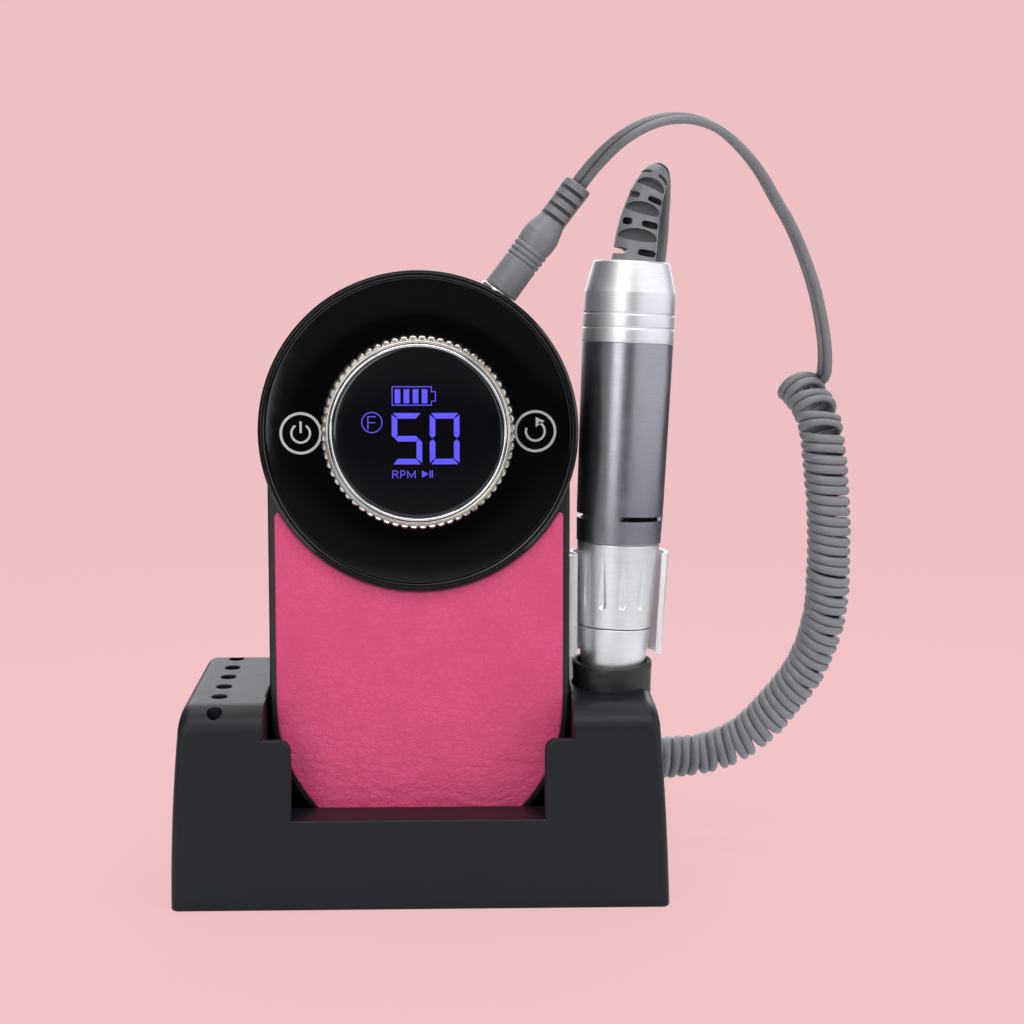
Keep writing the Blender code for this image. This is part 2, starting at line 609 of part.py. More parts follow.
def make_handpiece_clip():
    """A clear C-shaped clip that wraps the chuck sleeve from behind; it narrows downwards with it."""
    centre_x, radius, thick = UNIT_X + UNIT_HALF + 0.35 + 14.3, 14.3, 1.4
    low, high, wrap = 67.0, 97.2, 112.0
    outer = arc(centre_x, TIP.y, radius, 90 - wrap, 90 + wrap, 20)
    inner = arc(centre_x, TIP.y, radius - thick, 90 + wrap, 90 - wrap, 20)
    clip = extruded("handpiece_clip", [(x, y) for x, y in outer + inner], low, high)
    clip.data.transform(Matrix(((1, 0, 0, 0), (0, 0, 1, 0), (0, 1, 0, 0), (0, 0, 0, 1))))
    clip.data.flip_normals()
    anchor = UNIT_X + UNIT_HALF + 0.35
    for vertex in clip.data.vertices:
        share = (vertex.co.z / MM - low) / (high - low)
        narrow = 0.935 + 0.065 * share
        vertex.co.x = (anchor + (vertex.co.x / MM - anchor) * narrow) * MM
        vertex.co.y = (TIP.y + (vertex.co.y / MM - TIP.y) * narrow) * MM
    for z in (76.0, 89.0):
        join(clip, cylinder("clip_peg", (UNIT_X + UNIT_HALF, -8.6, z), Euler((0.0, math.pi / 2, 0.0)),
                            1.3, -3.6, 1.9, 16))
    return smooth(as_piece(clip, "handpiece_clip", "clear"))


# ---------------------------------------------------------------- cord

def smooth_path(points, steps):
    """Catmull-Rom points through the given ones, as vectors in millimetres."""
    ends = [points[0] * 2 - points[1]] + points + [points[-1] * 2 - points[-2]]
    path = []
    for a, b, c, d in zip(ends, ends[1:], ends[2:], ends[3:]):
        for i in range(steps):
            t = i / steps
            path.append(0.5 * (2 * b + (c - a) * t + (2 * a - 5 * b + 4 * c - d) * t ** 2
                               + (3 * b - 3 * c + d - a) * t ** 3))
    return path + [points[-1]]


def poly_curve(name, path):
    curve = bpy.data.curves.new(name, "CURVE")
    curve.dimensions = "3D"
    spline = curve.splines.new("POLY")
    spline.points.add(len(path) - 1)
    for point, place in zip(spline.points, path):
        point.co = (*(place * MM), 1.0)
    obj = bpy.data.objects.new(name, curve)
    PARTS.objects.link(obj)
    return obj


def make_lead(name, points, steps=2):
    """A flat twin lead along a path, as a closed sweep."""
    section = bpy.data.curves.new(name + "_section", "CURVE")
    section.dimensions = "2D"
    spline = section.splines.new("POLY")
    half, edge = LEAD_WIDTH / 2 * MM, LEAD_THICK / 2 * MM
    corners = ((half, -edge), (half, edge), (-half, edge), (-half, -edge))
    spline.points.add(len(corners) - 1)
    for point, (x, y) in zip(spline.points, corners):
        point.co = (x, y, 0.0, 1.0)
    spline.use_cyclic_u = True
    guide = as_cutter(bpy.data.objects.new(name + "_section", section))
    obj = poly_curve(name, smooth_path(points, steps))
    obj.data.bevel_mode = "OBJECT"
    obj.data.bevel_object = guide
    obj.data.use_fill_caps = True
    return smooth(as_piece(mesh_of_curve(obj), name, "cord"), 60.0)


UPPER_LEAD = [Vector(p) for p in (
    (43.8, -1.5, 199.9), (46.6, -1.5, 203.7), (52.3, -7.6, 209.5), (56.4, -11.2, 212.6), (61.0, -12.4, 215.1),
    (65.7, -12.2, 216.8), (72.0, -10.6, 217.4), (78.1, -8.0, 216.5), (84.1, -5.0, 213.8), (90.1, -1.8, 208.9),
    (95.2, 1.4, 203.5), (100.4, 4.8, 195.9), (105.2, 7.8, 189.1), (109.2, 10.6, 181.5), (113.1, 13.0, 172.4),
    (115.9, 14.9, 162.6), (117.6, 16.2, 153.8), (117.2, 16.6, 146.6))]
COIL_PATH = [Vector(p) for p in (
    (109.6, 17.0, 142.0), (112.5, 17.0, 139.3), (116.1, 17.2, 134.3), (117.9, 17.6, 127.7),
    (119.4, 18.6, 115.7), (120.7, 20.0, 102.5), (121.3, 22.0, 87.9), (121.3, 24.4, 76.6), (119.8, 27.4, 66.4),
    (116.1, 31.0, 55.4), (110.9, 34.4, 46.7), (103.7, 37.6, 37.3), (96.1, 39.8, 31.0), (87.4, 41.4, 27.2),
    (79.1, 42.2, 25.9), (72.9, 42.6, 25.4), (66.5, 42.6, 25.8), (60.9, 42.6, 26.8))]
LOWER_LEAD = [Vector(p) for p in (
    (61.5, 42.8, 33.9), (60.4, 43.3, 41.0), (58.4, 42.9, 55.0), (58.9, 38.6, 79.1), (60.8, 33.6, 101.3),
    (62.6, 28.0, 123.1), (64.6, 22.4, 144.3), (66.6, 17.6, 162.0), (68.2, 14.2, 176.4), (69.0, 12.2, 186.0),
    (69.3, 11.0, 195.0), (69.2, 8.4, 200.8), (68.2, 5.4, 203.2))]


def make_coil():
    """A flat section wound into a straight coil, then bent along the path of the cord."""
    bm = bmesh.new()
    half, edge = LEAD_WIDTH / 2, LEAD_THICK / 2
    corners = ((edge, -half), (-edge, -half), (-edge, half), (edge, half))
    start = Matrix.Rotation(COIL_START, 3, "Z")
    verts = [bm.verts.new(start @ Vector((COIL_RADIUS + x, 0.0, z)) * MM) for x, z in corners]
    for first, second in zip(verts, verts[1:] + verts[:1]):
        bm.edges.new((first, second))
    mesh = bpy.data.meshes.new("coil_cord")
    bm.to_mesh(mesh)
    bm.free()
    straight = bpy.data.objects.new("coil_cord", mesh)
    PARTS.objects.link(straight)
    screw = straight.modifiers.new("wind", "SCREW")
    screw.steps = COIL_STEPS
    screw.render_steps = COIL_STEPS
    screw.iterations = COIL_TURNS
    screw.angle = COIL_STEP_TURN
    screw.screw_offset = COIL_PITCH * MM
    straight = mesh_of_curve(straight, 0.0)
    bm = bmesh.new()
    bm.from_mesh(straight.data)
    bmesh.ops.holes_fill(bm, edges=[edge for edge in bm.edges if edge.is_boundary])
    bmesh.ops.recalc_face_normals(bm, faces=bm.faces)
    bm.to_mesh(straight.data)
    bm.free()
    guide = as_cutter(poly_curve("coil_guide", smooth_path(COIL_PATH, 4)))
    bend = straight.modifiers.new("bend", "CURVE")
    bend.object = guide
    bend.deform_axis = "POS_Z"
    coil = mesh_of_curve(straight, 0.0)
    return smooth(as_piece(coil, "coil_cord", "cord"), 60.0)


def make_plug():
    profile = [(0.0, 36.4), (3.9, 36.4), (4.15, 36.0), (4.0, 24.6), (5.2, 19.6), (5.3, 17.6), (4.85, 13.6),
               (4.8, 1.0), (4.5, 0.6), (0.0, 0.6)]
    overmold = turned("plug_overmold", profile, PLUG_END, PLUG_TURN, 20)
    socket = cylinder("pin_socket", PLUG_END, PLUG_TURN, 2.0, -4.0, 6.0, 20)
    smooth(as_piece(cut(overmold, socket), "plug_overmold", "cord"))
    pin = cylinder("plug_pin", PLUG_END, PLUG_TURN, 1.7, -12.0, 5.7, 20, 0.5)
    smooth(as_piece(pin, "plug_pin", "steel"))


# ---------------------------------------------------------------- handpiece

def hp(name, profile, finish, steps=28, ring=True):
    piece = turned(name, profile, TIP, HANDPIECE_TURN, steps, ring)
    return smooth(as_piece(piece, name, finish))


def make_end_cap():
    top, base = 130.1, 107.5
    profile = [(4.6, top), (10.5, top), (10.8, top - 0.3), (12.7, 122.2), (12.85, 121.6),
               (12.85, 116.1), (12.35, 115.9), (12.35, 115.4), (12.85, 115.2),
               (12.85, 111.1), (12.35, 110.9), (12.35, 110.4), (12.85, 110.2),
               (12.95, base), (10.0, base), (10.0, 126.0), (4.6, 126.0)]
    hp("end_cap", profile, "silver", 28)


def make_body_sleeve():
    """The grip tube. Three slots in its wall let cooling air reach the motor."""
    profile = [(11.2, 107.2), (12.85, 107.2), (12.95, 106.9), (12.3, 60.0), (11.95, 49.8), (11.85, 49.5), (11.2, 49.5)]
    sleeve = turned("body_sleeve", profile, TIP, HANDPIECE_TURN, 32, True)
    for number in range(3):
        middle = math.radians(-90.0 + 31.5 + 120.0 * number)
        spread = SLOT_ARC / 2
        wedge = [(0.0, 0.0)] + [(30.0 * math.cos(middle + spread * k), 30.0 * math.sin(middle + spread * k))
                                for k in (-1.0, -0.5, 0.0, 0.5, 1.0)]
        slot = extruded(f"vent_{number}", wedge, -SLOT_HEIGHT / 2, SLOT_HEIGHT / 2)
        slot.data.transform(Matrix.Rotation(-math.pi / 2, 4, "X"))
        slot.data.transform(Matrix.Diagonal((1.0, -1.0, 1.0, 1.0)))
        slot.data.flip_normals()
        slot.data.transform(Matrix.Translation((0.0, 0.0, SLOT_T * MM)))
        slot.data.transform(Matrix.LocRotScale(TIP * MM, HANDPIECE_TURN, None))
        cut(sleeve, slot)
    smooth(as_piece(sleeve, "body_sleeve", "gunmetal"))


def make_drive():
    hp("motor_can", [(0.0, 104.0), (10.4, 104.0), (10.9, 103.4), (10.9, 60.6), (10.3, 60.0), (4.0, 60.0),
                     (4.0, 58.8), (1.7, 58.8), (1.7, 66.0), (0.0, 66.0)], "steel", 28, False)
    hp("motor_shaft", [(0.0, 64.5), (1.25, 64.5), (1.25, 49.6), (0.0, 49.6)], "steel", 16, False)
    hp("drive_coupling", [(1.6, 55.2), (3.8, 55.2), (4.2, 54.7), (4.2, 47.6), (3.8, 47.2), (1.6, 47.2)],
       "brass", 24)
    hp("spindle", [(0.0, 46.6), (3.0, 46.6), (3.0, 4.4), (1.95, 4.4), (1.95, 40.0), (0.0, 40.0)],
       "steel", 24, False)
    hp("collet", [(1.2, 24.0), (1.6, 24.0), (1.6, 3.9), (2.7, 2.4), (2.7, 0.9), (1.2, 0.9)], "steel", 20)
    hp("front_bearing", [(3.3, 11.0), (5.1, 11.0), (5.1, 6.0), (3.3, 6.0)], "steel", 20)
    hp("rear_bearing", [(3.3, 43.0), (5.1, 43.0), (5.1, 38.0), (3.3, 38.0)], "steel", 20)
    hp("spindle_housing", [(5.4, 51.4), (10.8, 51.4), (10.8, 49.9), (6.4, 49.9), (6.4, 5.5), (5.4, 5.5)],
       "steel", 24)


def make_collet_spring():
    """A round-wire compression spring about the spindle."""
    bm = bmesh.new()
    bmesh.ops.create_circle(bm, cap_ends=False, radius=0.35 * MM, segments=4)
    bmesh.ops.rotate(bm, matrix=Matrix.Rotation(math.pi / 2, 3, "X"), verts=bm.verts)
    bmesh.ops.translate(bm, vec=(4.15 * MM, 0.0, 13.0 * MM), verts=bm.verts)
    mesh = bpy.data.meshes.new("collet_spring")
    bm.to_mesh(mesh)
    bm.free()
    spring = bpy.data.objects.new("collet_spring", mesh)
    PARTS.objects.link(spring)
    screw = spring.modifiers.new("wind", "SCREW")
    screw.steps = 8
    screw.render_steps = 8
    screw.iterations = 6
    screw.screw_offset = 3.7 * MM
    spring.location = TIP * MM
    spring.rotation_euler = HANDPIECE_TURN
    spring = mesh_of_curve(spring, 0.0)
    bm = bmesh.new()
    bm.from_mesh(spring.data)
    bmesh.ops.holes_fill(bm, edges=[edge for edge in bm.edges if edge.is_boundary])
    bmesh.ops.recalc_face_normals(bm, faces=bm.faces)
    bm.to_mesh(spring.data)
    bm.free()
    smooth(as_piece(spring, "collet_spring", "steel"))


def make_nose():
    hp("nose_cone", [(6.7, 25.2), (10.15, 25.2), (10.3, 25.0), (9.25, 17.0), (6.9, 3.0), (6.5, 0.5),
                     (6.1, 0.0), (3.0, 0.0), (3.0, 2.0), (5.7, 3.0), (6.7, 5.0)], "silver")
    hp("chuck_sleeve", [(8.0, 49.2), (11.55, 49.2), (11.65, 48.9), (10.4, 25.8), (10.25, 25.5), (8.0, 25.5)],
       "silver", 28)
    hp("lock_cam", [(6.7, 38.0), (7.7, 38.0), (7.7, 30.0), (6.7, 30.0)], "brass", 24)


BOOT_PATH = [Vector(p) for p in ((59.1, -2.5, 178.9), (59.9, -2.5, 185.0), (61.0, -2.5, 191.0),
                                 (62.9, -2.2, 197.2), (65.2, -0.4, 201.6), (67.2, 3.0, 203.2))]
BOOT_RADII = (6.2, 6.0, 5.4, 4.7, 3.9, 3.0)


def make_strain_relief():
    boot = poly_curve("strain_relief", BOOT_PATH)
    boot.data.bevel_depth = MM
    boot.data.bevel_resolution = 3
    boot.data.use_fill_caps = True
    for point, radius in zip(boot.data.splines[0].points, BOOT_RADII):
        point.radius = radius
    boot = mesh_of_curve(boot)
    stem = cylinder("boot_stem", TIP, HANDPIECE_TURN, 4.2, 126.4, 131.8, 24)
    smooth(as_piece(join(boot, stem), "strain_relief", "cord"), 50.0)


# ---------------------------------------------------------------- moving groups

def along(turn, distance):
    """A point that far up a leaning axis, from its base."""
    return Vector((math.sin(turn.y) * distance, 0.0, math.cos(turn.y) * distance))


def group(name, place, turn, members, parent=None):
    """An empty on a joint's axis, carrying the pieces that move together."""
    empty = bpy.data.objects.new(name, None)
    PARTS.objects.link(empty)
    empty.location = Vector(place) * MM
    empty.rotation_euler = turn
    empty.empty_display_size = 0.01
    bpy.context.view_layer.update()
    if parent:
        empty.parent = parent
        empty.matrix_parent_inverse = parent.matrix_world.inverted()
    bpy.context.view_layer.update()
    for member in members:
        piece = bpy.data.objects[member]
        piece.parent = empty
        piece.matrix_parent_inverse = empty.matrix_world.inverted()
    return empty


def make_groups():
    unit_nodes = ["front_housing", "rear_housing", "head_bezel", "face_plate", "leather_panel", "knob_bearing",
                  "main_board", "push_switch", "encoder_sensor", "battery_cell_left", "battery_cell_right",
                  "charge_board", "charging_socket", "handpiece_jack", "jack_nut", "handpiece_clip", "coil_cord"]
    unit_nodes += ["housing_screw_" + place for place in UNIT_SCREWS]
    unit = group("unit_axis", (UNIT_X, 0.0, UNIT_BOTTOM), Euler(), unit_nodes)
    group("knob_axis", head_axis(KNOB_FRONT), TOWARDS_USER, ["speed_knob", "encoder_ring"], unit)
    group("display_axis", head_axis(KNOB_FRONT), TOWARDS_USER,
          ["display_lens", "display_bezel", "display_carrier", "display_module"], unit)
    group("plug_axis", PLUG_END, PLUG_TURN, ["plug_overmold", "plug_pin", "lead_upper"], unit)
    handpiece = group("handpiece_axis", TIP, HANDPIECE_TURN,
                      ["end_cap", "body_sleeve", "motor_can", "spindle_housing", "nose_cone", "front_bearing",
                       "rear_bearing", "strain_relief", "lead_lower"], unit)
    group("sleeve_axis", TIP + along(HANDPIECE_TURN, 37.0), HANDPIECE_TURN, ["chuck_sleeve"], handpiece)
    group("cam_axis", TIP + along(HANDPIECE_TURN, 34.0), HANDPIECE_TURN, ["lock_cam"], handpiece)
    group("spindle_axis", TIP, HANDPIECE_TURN,
          ["spindle", "collet", "collet_spring", "drive_coupling", "motor_shaft"], handpiece)


def main():
    make_dock_shell()
    make_base_plate()
    make_feet()
    make_base_screws()
    make_handpiece_collar()
    make_front_housing()
    make_rear_housing()
    make_housing_screws()
    make_head_bezel()
    make_face_plate()
    make_leather_panel()
    make_knob()
    make_display()
    make_electronics()
    make_jack()
    make_handpiece_clip()
    make_plug()
    make_lead("lead_upper", UPPER_LEAD)
    make_coil()
    make_lead("lead_lower", LOWER_LEAD)
    make_end_cap()
    make_body_sleeve()
    make_drive()
    make_collet_spring()
    make_nose()
    make_strain_relief()
    make_groups()


main()
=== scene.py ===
"""Looks of the electric nail drill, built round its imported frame.

Every length below is in millimetres and is scaled to metres where a mesh is made. Profiles of turned
pieces are (radius, height) or (radius, height, corner radius).
"""
import math

import bmesh
import bpy
import numpy as np
from mathutils import Euler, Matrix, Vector, noise


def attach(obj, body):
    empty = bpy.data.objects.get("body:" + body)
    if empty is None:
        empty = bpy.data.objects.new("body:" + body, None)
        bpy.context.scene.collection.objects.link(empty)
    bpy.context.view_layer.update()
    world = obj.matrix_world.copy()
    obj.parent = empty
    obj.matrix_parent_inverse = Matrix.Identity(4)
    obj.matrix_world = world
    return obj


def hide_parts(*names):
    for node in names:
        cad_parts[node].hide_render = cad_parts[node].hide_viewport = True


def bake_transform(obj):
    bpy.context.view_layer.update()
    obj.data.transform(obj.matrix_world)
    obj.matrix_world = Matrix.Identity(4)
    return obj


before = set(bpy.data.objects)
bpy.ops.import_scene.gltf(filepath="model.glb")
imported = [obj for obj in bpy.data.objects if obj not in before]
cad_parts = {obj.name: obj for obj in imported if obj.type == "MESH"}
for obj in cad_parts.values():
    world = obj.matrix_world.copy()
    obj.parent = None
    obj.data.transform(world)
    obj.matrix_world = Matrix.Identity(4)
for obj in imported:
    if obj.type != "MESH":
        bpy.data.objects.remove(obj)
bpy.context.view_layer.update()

MM = 0.001

DOCK_LEFT, DOCK_RIGHT, DOCK_DEPTH = -69.7, 67.7, 58.99
DOCK_TOP, DOCK_SLOPE, SHOULDER, BACK_SHOULDER = 58.4, math.radians(5.0), (8.0, 6.4), (3.4, 3.4)
SLOT_X, SLOT_Y, SLOT_FLOOR = (-44.2, 41.0), (-15.2, 12.3), 14.8
WINDOW_X, LEDGE_TOP, LIP_TOP, LIP_RADIUS, LIP_BACK = (-36.4, 33.0), 25.2, 47.5, 3.2, -27.4
BIT_X, BIT_PITCH, BIT_HOLES, FRONT_BIT_Y = -57.3, 10.1, 6, -26.3

UNIT_X, UNIT_HALF, UNIT_BOTTOM = -1.4, 42.0, 15.1
HEAD_Z, HEAD_RADIUS, FACE_HEIGHT = 131.0, 44.2, 16.6
BEND_Z, BEND_RADIUS, TOE_RADIUS = 54.2, 45.5, 12.0
LEATHER_INSET, LEATHER_TOP, LEATHER_CIRCLE, LEATHER_FRONT = 1.7, 108.6, 44.7, 14.4
LENS_PROFILE = ((0.0, 23.75), (6.0, 23.74), (12.0, 23.7), (19.0, 23.6), (22.3, 23.5), (23.0, 23.43),
                (23.3, 23.25))

TIP, HANDPIECE_TURN = Vector((53.1, -2.5, 48.0)), Euler((0.0, math.radians(2.37), 0.0))
PLUG_END, PLUG_TURN = Vector((21.8, -1.5, 170.3)), Euler((0.0, math.radians(36.6), 0.0))
HEAD_PLACE, TOWARDS_USER = Vector((UNIT_X, 0.0, HEAD_Z)), Euler((math.pi / 2, 0.0, 0.0))
COLLAR_X = 53.55
STRAND_RADIUS, STRAND_APART = 1.2, 1.16


# ---------------------------------------------------------------- meshes

def placed(verts, place=(0.0, 0.0, 0.0), turn=None):
    """Vertices turned about the origin and moved, in millimetres."""
    matrix = (turn or Euler()).to_matrix()
    return [matrix @ Vector(v) + Vector(place) for v in verts]


def linked(name, data):
    """A new object, in the scene."""
    obj = bpy.data.objects.new(name, data)
    bpy.context.scene.collection.objects.link(obj)
    return obj


def solid(name, verts, faces):
    """A mesh object from millimetre vertices, with its faces turned outwards."""
    mesh = bpy.data.meshes.new(name)
    mesh.from_pydata([Vector(v) * MM for v in verts], [], faces)
    bm = bmesh.new()
    bm.from_mesh(mesh)
    bmesh.ops.recalc_face_normals(bm, faces=bm.faces)
    bm.to_mesh(mesh)
    bm.free()
    return linked(name, mesh)


def cut(obj, *cutters):
    """obj less the cutters, which are removed."""
    for cutter in cutters:
        modifier = obj.modifiers.new("cut", "BOOLEAN")
        modifier.operation = "DIFFERENCE"
        modifier.solver = "EXACT"
        modifier.object = cutter
    bpy.context.view_layer.update()
    graph = bpy.context.evaluated_depsgraph_get()
    mesh = bpy.data.meshes.new_from_object(obj.evaluated_get(graph))
    obj.modifiers.clear()
    obj.data = mesh
    for cutter in cutters:
        bpy.data.objects.remove(cutter)
    return obj


def piece(obj, body, material, replaces=(), angle=32.0):
    """Gives a mesh object its smooth shading, finish and body."""
    obj.data.materials.clear()
    obj.data.materials.append(material)
    obj.data.shade_smooth()
    obj.data.set_sharp_from_angle(angle=math.radians(angle))
    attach(obj, body)
    if replaces:
        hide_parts(*replaces)
    return obj


def loft(rings, closed=False):
    """Vertices and faces that join equal loops of points, capped unless closed end to end."""
    size = len(rings[0])
    verts = [point for ring in rings for point in ring]
    faces = []
    pairs = len(rings) if closed else len(rings) - 1
    for i in range(pairs):
        one, two = i * size, (i + 1) % len(rings) * size
        faces += [(one + k, one + (k + 1) % size, two + (k + 1) % size, two + k) for k in range(size)]
    if not closed:
        faces.append(tuple(range(size))[::-1])
        faces.append(tuple(range(len(verts) - size, len(verts))))
    return verts, faces


def filleted(points, closed):
    """(radius, height) points with each corner that names a radius rounded off."""
    out = []
    for i, point in enumerate(points):
        here = Vector(point[:2])
        if len(point) < 3 or (not closed and i in (0, len(points) - 1)):
            out.append(tuple(here))
            continue
        before, after = Vector(points[i - 1][:2]) - here, Vector(points[(i + 1) % len(points)][:2]) - here
        reach = point[2] / math.tan(before.angle(after) / 2)
        reach = min(reach, before.length * 0.49, after.length * 0.49)
        start, end = here + before.normalized() * reach, here + after.normalized() * reach
        for k in range(6):
            t = k / 5
            out.append(tuple(start * (1 - t) ** 2 + here * 2 * t * (1 - t) + end * t ** 2))
    return out


def lathe(profile, steps=96, ring=True):
    """A turned profile: a loop if ring, and otherwise from axis to axis."""
    profile = filleted(profile, ring)
    verts, rows, faces = [], [], []
    for radius, height in profile:
        count = steps if radius > 1e-4 else 1
        rows.append(range(len(verts), len(verts) + count))
        for k in range(count):
            angle = 2 * math.pi * k / steps
            verts.append((radius * math.cos(angle), radius * math.sin(angle), height))
    for one, two in zip(rows, rows[1:] + (rows[:1] if ring else [])):
        for k in range(steps):
            corners = (one[k % len(one)], one[(k + 1) % steps % len(one)],
                       two[(k + 1) % steps % len(two)], two[k % len(two)])
            faces.append(tuple(dict.fromkeys(corners)))
    return verts, faces


def turned(name, profile, place, turn, steps=96, ring=True):
    verts, faces = lathe(profile, steps, ring)
    return solid(name, placed(verts, place, turn), faces)


def rod(name, place, turn, radius, low, high, steps=48):
    return turned(name, [(0.0, high), (radius, high), (radius, low), (0.0, low)], place, turn, steps, False)


def arc(x, z, radius, start, end, steps):
    angles = [math.radians(start + (end - start) * i / steps) for i in range(steps + 1)]
    return [(x + radius * math.cos(a), z + radius * math.sin(a)) for a in angles]


def upright(outline, y):
    """A flat outline of (x, z) points as points at depth y."""
    return [(x, y, z) for x, z in outline]


def box(name, low, high):
    rings = [[(low[0], low[1], z), (high[0], low[1], z), (high[0], high[1], z), (low[0], high[1], z)]
             for z in (low[2], high[2])]
    return solid(name, *loft(rings))


def round_over(radius, steps=6):
    """(inset, depth) pairs from a flat face round to a side wall."""
    angles = [math.pi / 2 * k / steps for k in range(steps + 1)]
    return [(radius * (1 - math.sin(a)), radius * (1 - math.cos(a))) for a in angles]


# ---------------------------------------------------------------- paths

def smooth_path(points, spacing):
    """Evenly spaced points along the Catmull-Rom curve through the given ones."""
    points = np.array([tuple(p) for p in points], float)
    ends = np.vstack([2 * points[0] - points[1], points, 2 * points[-1] - points[-2]])
    fine = []
    for a, b, c, d in zip(ends, ends[1:], ends[2:], ends[3:]):
        for t in np.linspace(0.0, 1.0, 24, endpoint=False):
            fine.append(0.5 * (2 * b + (c - a) * t + (2 * a - 5 * b + 4 * c - d) * t ** 2
                               + (3 * b - 3 * c + d - a) * t ** 3))
    fine = np.array(fine + [points[-1]])
    length = np.concatenate([[0.0], np.cumsum(np.linalg.norm(np.diff(fine, axis=0), axis=1))])
    wanted = np.linspace(0.0, length[-1], max(2, round(length[-1] / spacing)) + 1)
    return np.stack([np.interp(wanted, length, fine[:, k]) for k in range(3)], axis=1)


def eased(path, rounds):
    """The path with its small kinks averaged out, between ends that stay where they are."""
    path = path.copy()
    for _ in range(rounds):
        path[1:-1] = (path[:-2] + 2 * path[1:-1] + path[2:]) / 4
    return path


def unit_rows(vectors):
    """The vectors, each scaled to length one."""
    return vectors / np.linalg.norm(vectors, axis=1)[:, None]


def carried_frames(path, normal):
    """Tangents, and normals carried along the path without twist, and their cross products."""
    tangents = unit_rows(np.gradient(path, axis=0))
    normals = np.zeros_like(path)
    normal = np.array(normal, float)
    for i, tangent in enumerate(tangents):
        normal = normal - tangent * (normal @ tangent)
        normal /= np.linalg.norm(normal)
        normals[i] = normal
    return tangents, normals, np.cross(tangents, normals)


def tube(path, radii, sides=14):
    """A round tube along a path."""
    start = (0.0, 1.0, 0.0) if abs(path[1][1] - path[0][1]) < abs(path[1][2] - path[0][2]) else (0.0, 0.0,
                                                                                                 1.0)
    _, normals, others = carried_frames(path, start)
    angles = np.linspace(0.0, 2 * math.pi, sides, endpoint=False)
    rings = [[tuple(p + r * (math.cos(a) * n + math.sin(a) * o)) for a in angles]
             for p, r, n, o in zip(path, radii, normals, others)]
    return loft(rings)


def merged(*parts):
    """Several (vertices, faces) as one."""
    verts, faces = [], []
    for more_verts, more_faces in parts:
        faces += [tuple(i + len(verts) for i in face) for face in more_faces]
        verts += list(more_verts)
    return verts, faces


def twin_strands(path, directions):
    """Two round strands side by side along a path, set apart along the given directions."""
    radii = np.full(len(path), STRAND_RADIUS)
    shift = directions * STRAND_APART
    return merged(tube(path + shift, radii), tube(path - shift, radii))


# ---------------------------------------------------------------- materials

class Finish:
    """A node material with a Principled shader and short ways to add to it."""

    def __init__(self, name, colour, roughness, metallic=0.0, **values):
        self.material = bpy.data.materials.new(name)
        self.material.use_nodes = True
        self.tree = self.material.node_tree
        self.shader = self.tree.nodes["Principled BSDF"]
        self.colour = colour
        self.set(self.shader, {"Base Color": (*colour, 1.0), "Roughness": roughness, "Metallic": metallic})
        self.set(self.shader, {key.replace("_", " "): value for key, value in values.items()})
        self.place = self.node("TexCoord").outputs["Object"]

    @staticmethod
    def set(node, values):
        for key, value in values.items():
            node.inputs[key].default_value = value

    def node(self, kind, values=None, links=None, **settings):
        made = self.tree.nodes.new("ShaderNode" + kind)
        for key, value in settings.items():
            setattr(made, key, value)
        self.set(made, values or {})
        for key, source in (links or {}).items():
            self.tree.links.new(source, made.inputs[key])
        return made

    def stretched(self, scale, turn=(0.0, 0.0, 0.0)):
        return self.node("Mapping", {"Scale": scale, "Rotation": turn}, {"Vector": self.place}).outputs[0]

    def grain(self, size, detail=3.0, where=None, distortion=0.0):
        """Noise whose lumps are about that many millimetres."""
        return self.node("TexNoise", {"Scale": 1.0 / (size * MM), "Detail": detail, "Distortion": distortion},
                         {"Vector": where or self.place}).outputs["Fac"]

    def ramp(self, source, low, high, to_low, to_high, smooth=False):
        return self.node("MapRange", {"From Min": low, "From Max": high, "To Min": to_low, "To Max": to_high},
                         {"Value": source},
                         interpolation_type="SMOOTHSTEP" if smooth else "LINEAR").outputs[0]

    def maths(self, operation, first, second):
        made = self.node("Math", operation=operation)
        for socket, value in zip(made.inputs, (first, second)):
            if isinstance(value, float):
                socket.default_value = value
            else:
                self.tree.links.new(value, socket)
        return made.outputs[0]

    def weighted(self, first, share, second, other):
        """first times share, plus second times other."""
        return self.maths("ADD", self.maths("MULTIPLY", first, share), self.maths("MULTIPLY", second, other))

    def blend(self, share, first, second):
        """A colour between two, each a tuple or a socket."""
        made = self.node("Mix", data_type="RGBA")
        self.tree.links.new(share, made.inputs[0])
        for socket, value in zip((made.inputs[6], made.inputs[7]), (first, second)):
            if isinstance(value, tuple):
                socket.default_value = (*value, 1.0)
            else:
                self.tree.links.new(value, socket)
        return made.outputs[2]

    def into(self, socket, source):
        self.tree.links.new(source, self.shader.inputs[socket])
        return self

    def bump(self, height, strength, depth):
        """Raises the surface by height times depth in millimetres."""
        made = self.node("Bump", {"Strength": strength, "Distance": depth * MM}, {"Height": height})
        return self.into("Normal", made.outputs[0])

    def shaded(self, share, amount, darker):
        """Base colour that varies by a share between the finish's own colour and a darker one."""
        low = tuple(c * darker for c in self.colour)
        return self.into("Base Color", self.blend(self.ramp(share, 0.5 - amount, 0.5 + amount, 0.0, 1.0), low,
                                                  self.colour))


def plastic(name, colour, rough, grain_size, depth, **values):
    """Moulded plastic with a spark-eroded grain and slightly uneven gloss."""
    finish = Finish(name, colour, rough, **values)
    finish.shaded(finish.grain(9.0, 4.0), 0.3, 0.86)
    finish.into("Roughness", finish.ramp(finish.grain(3.0, 5.0), 0.3, 0.7, rough - 0.015, rough + 0.02))
    return finish.bump(finish.grain(grain_size, 2.0), 0.5, depth).material


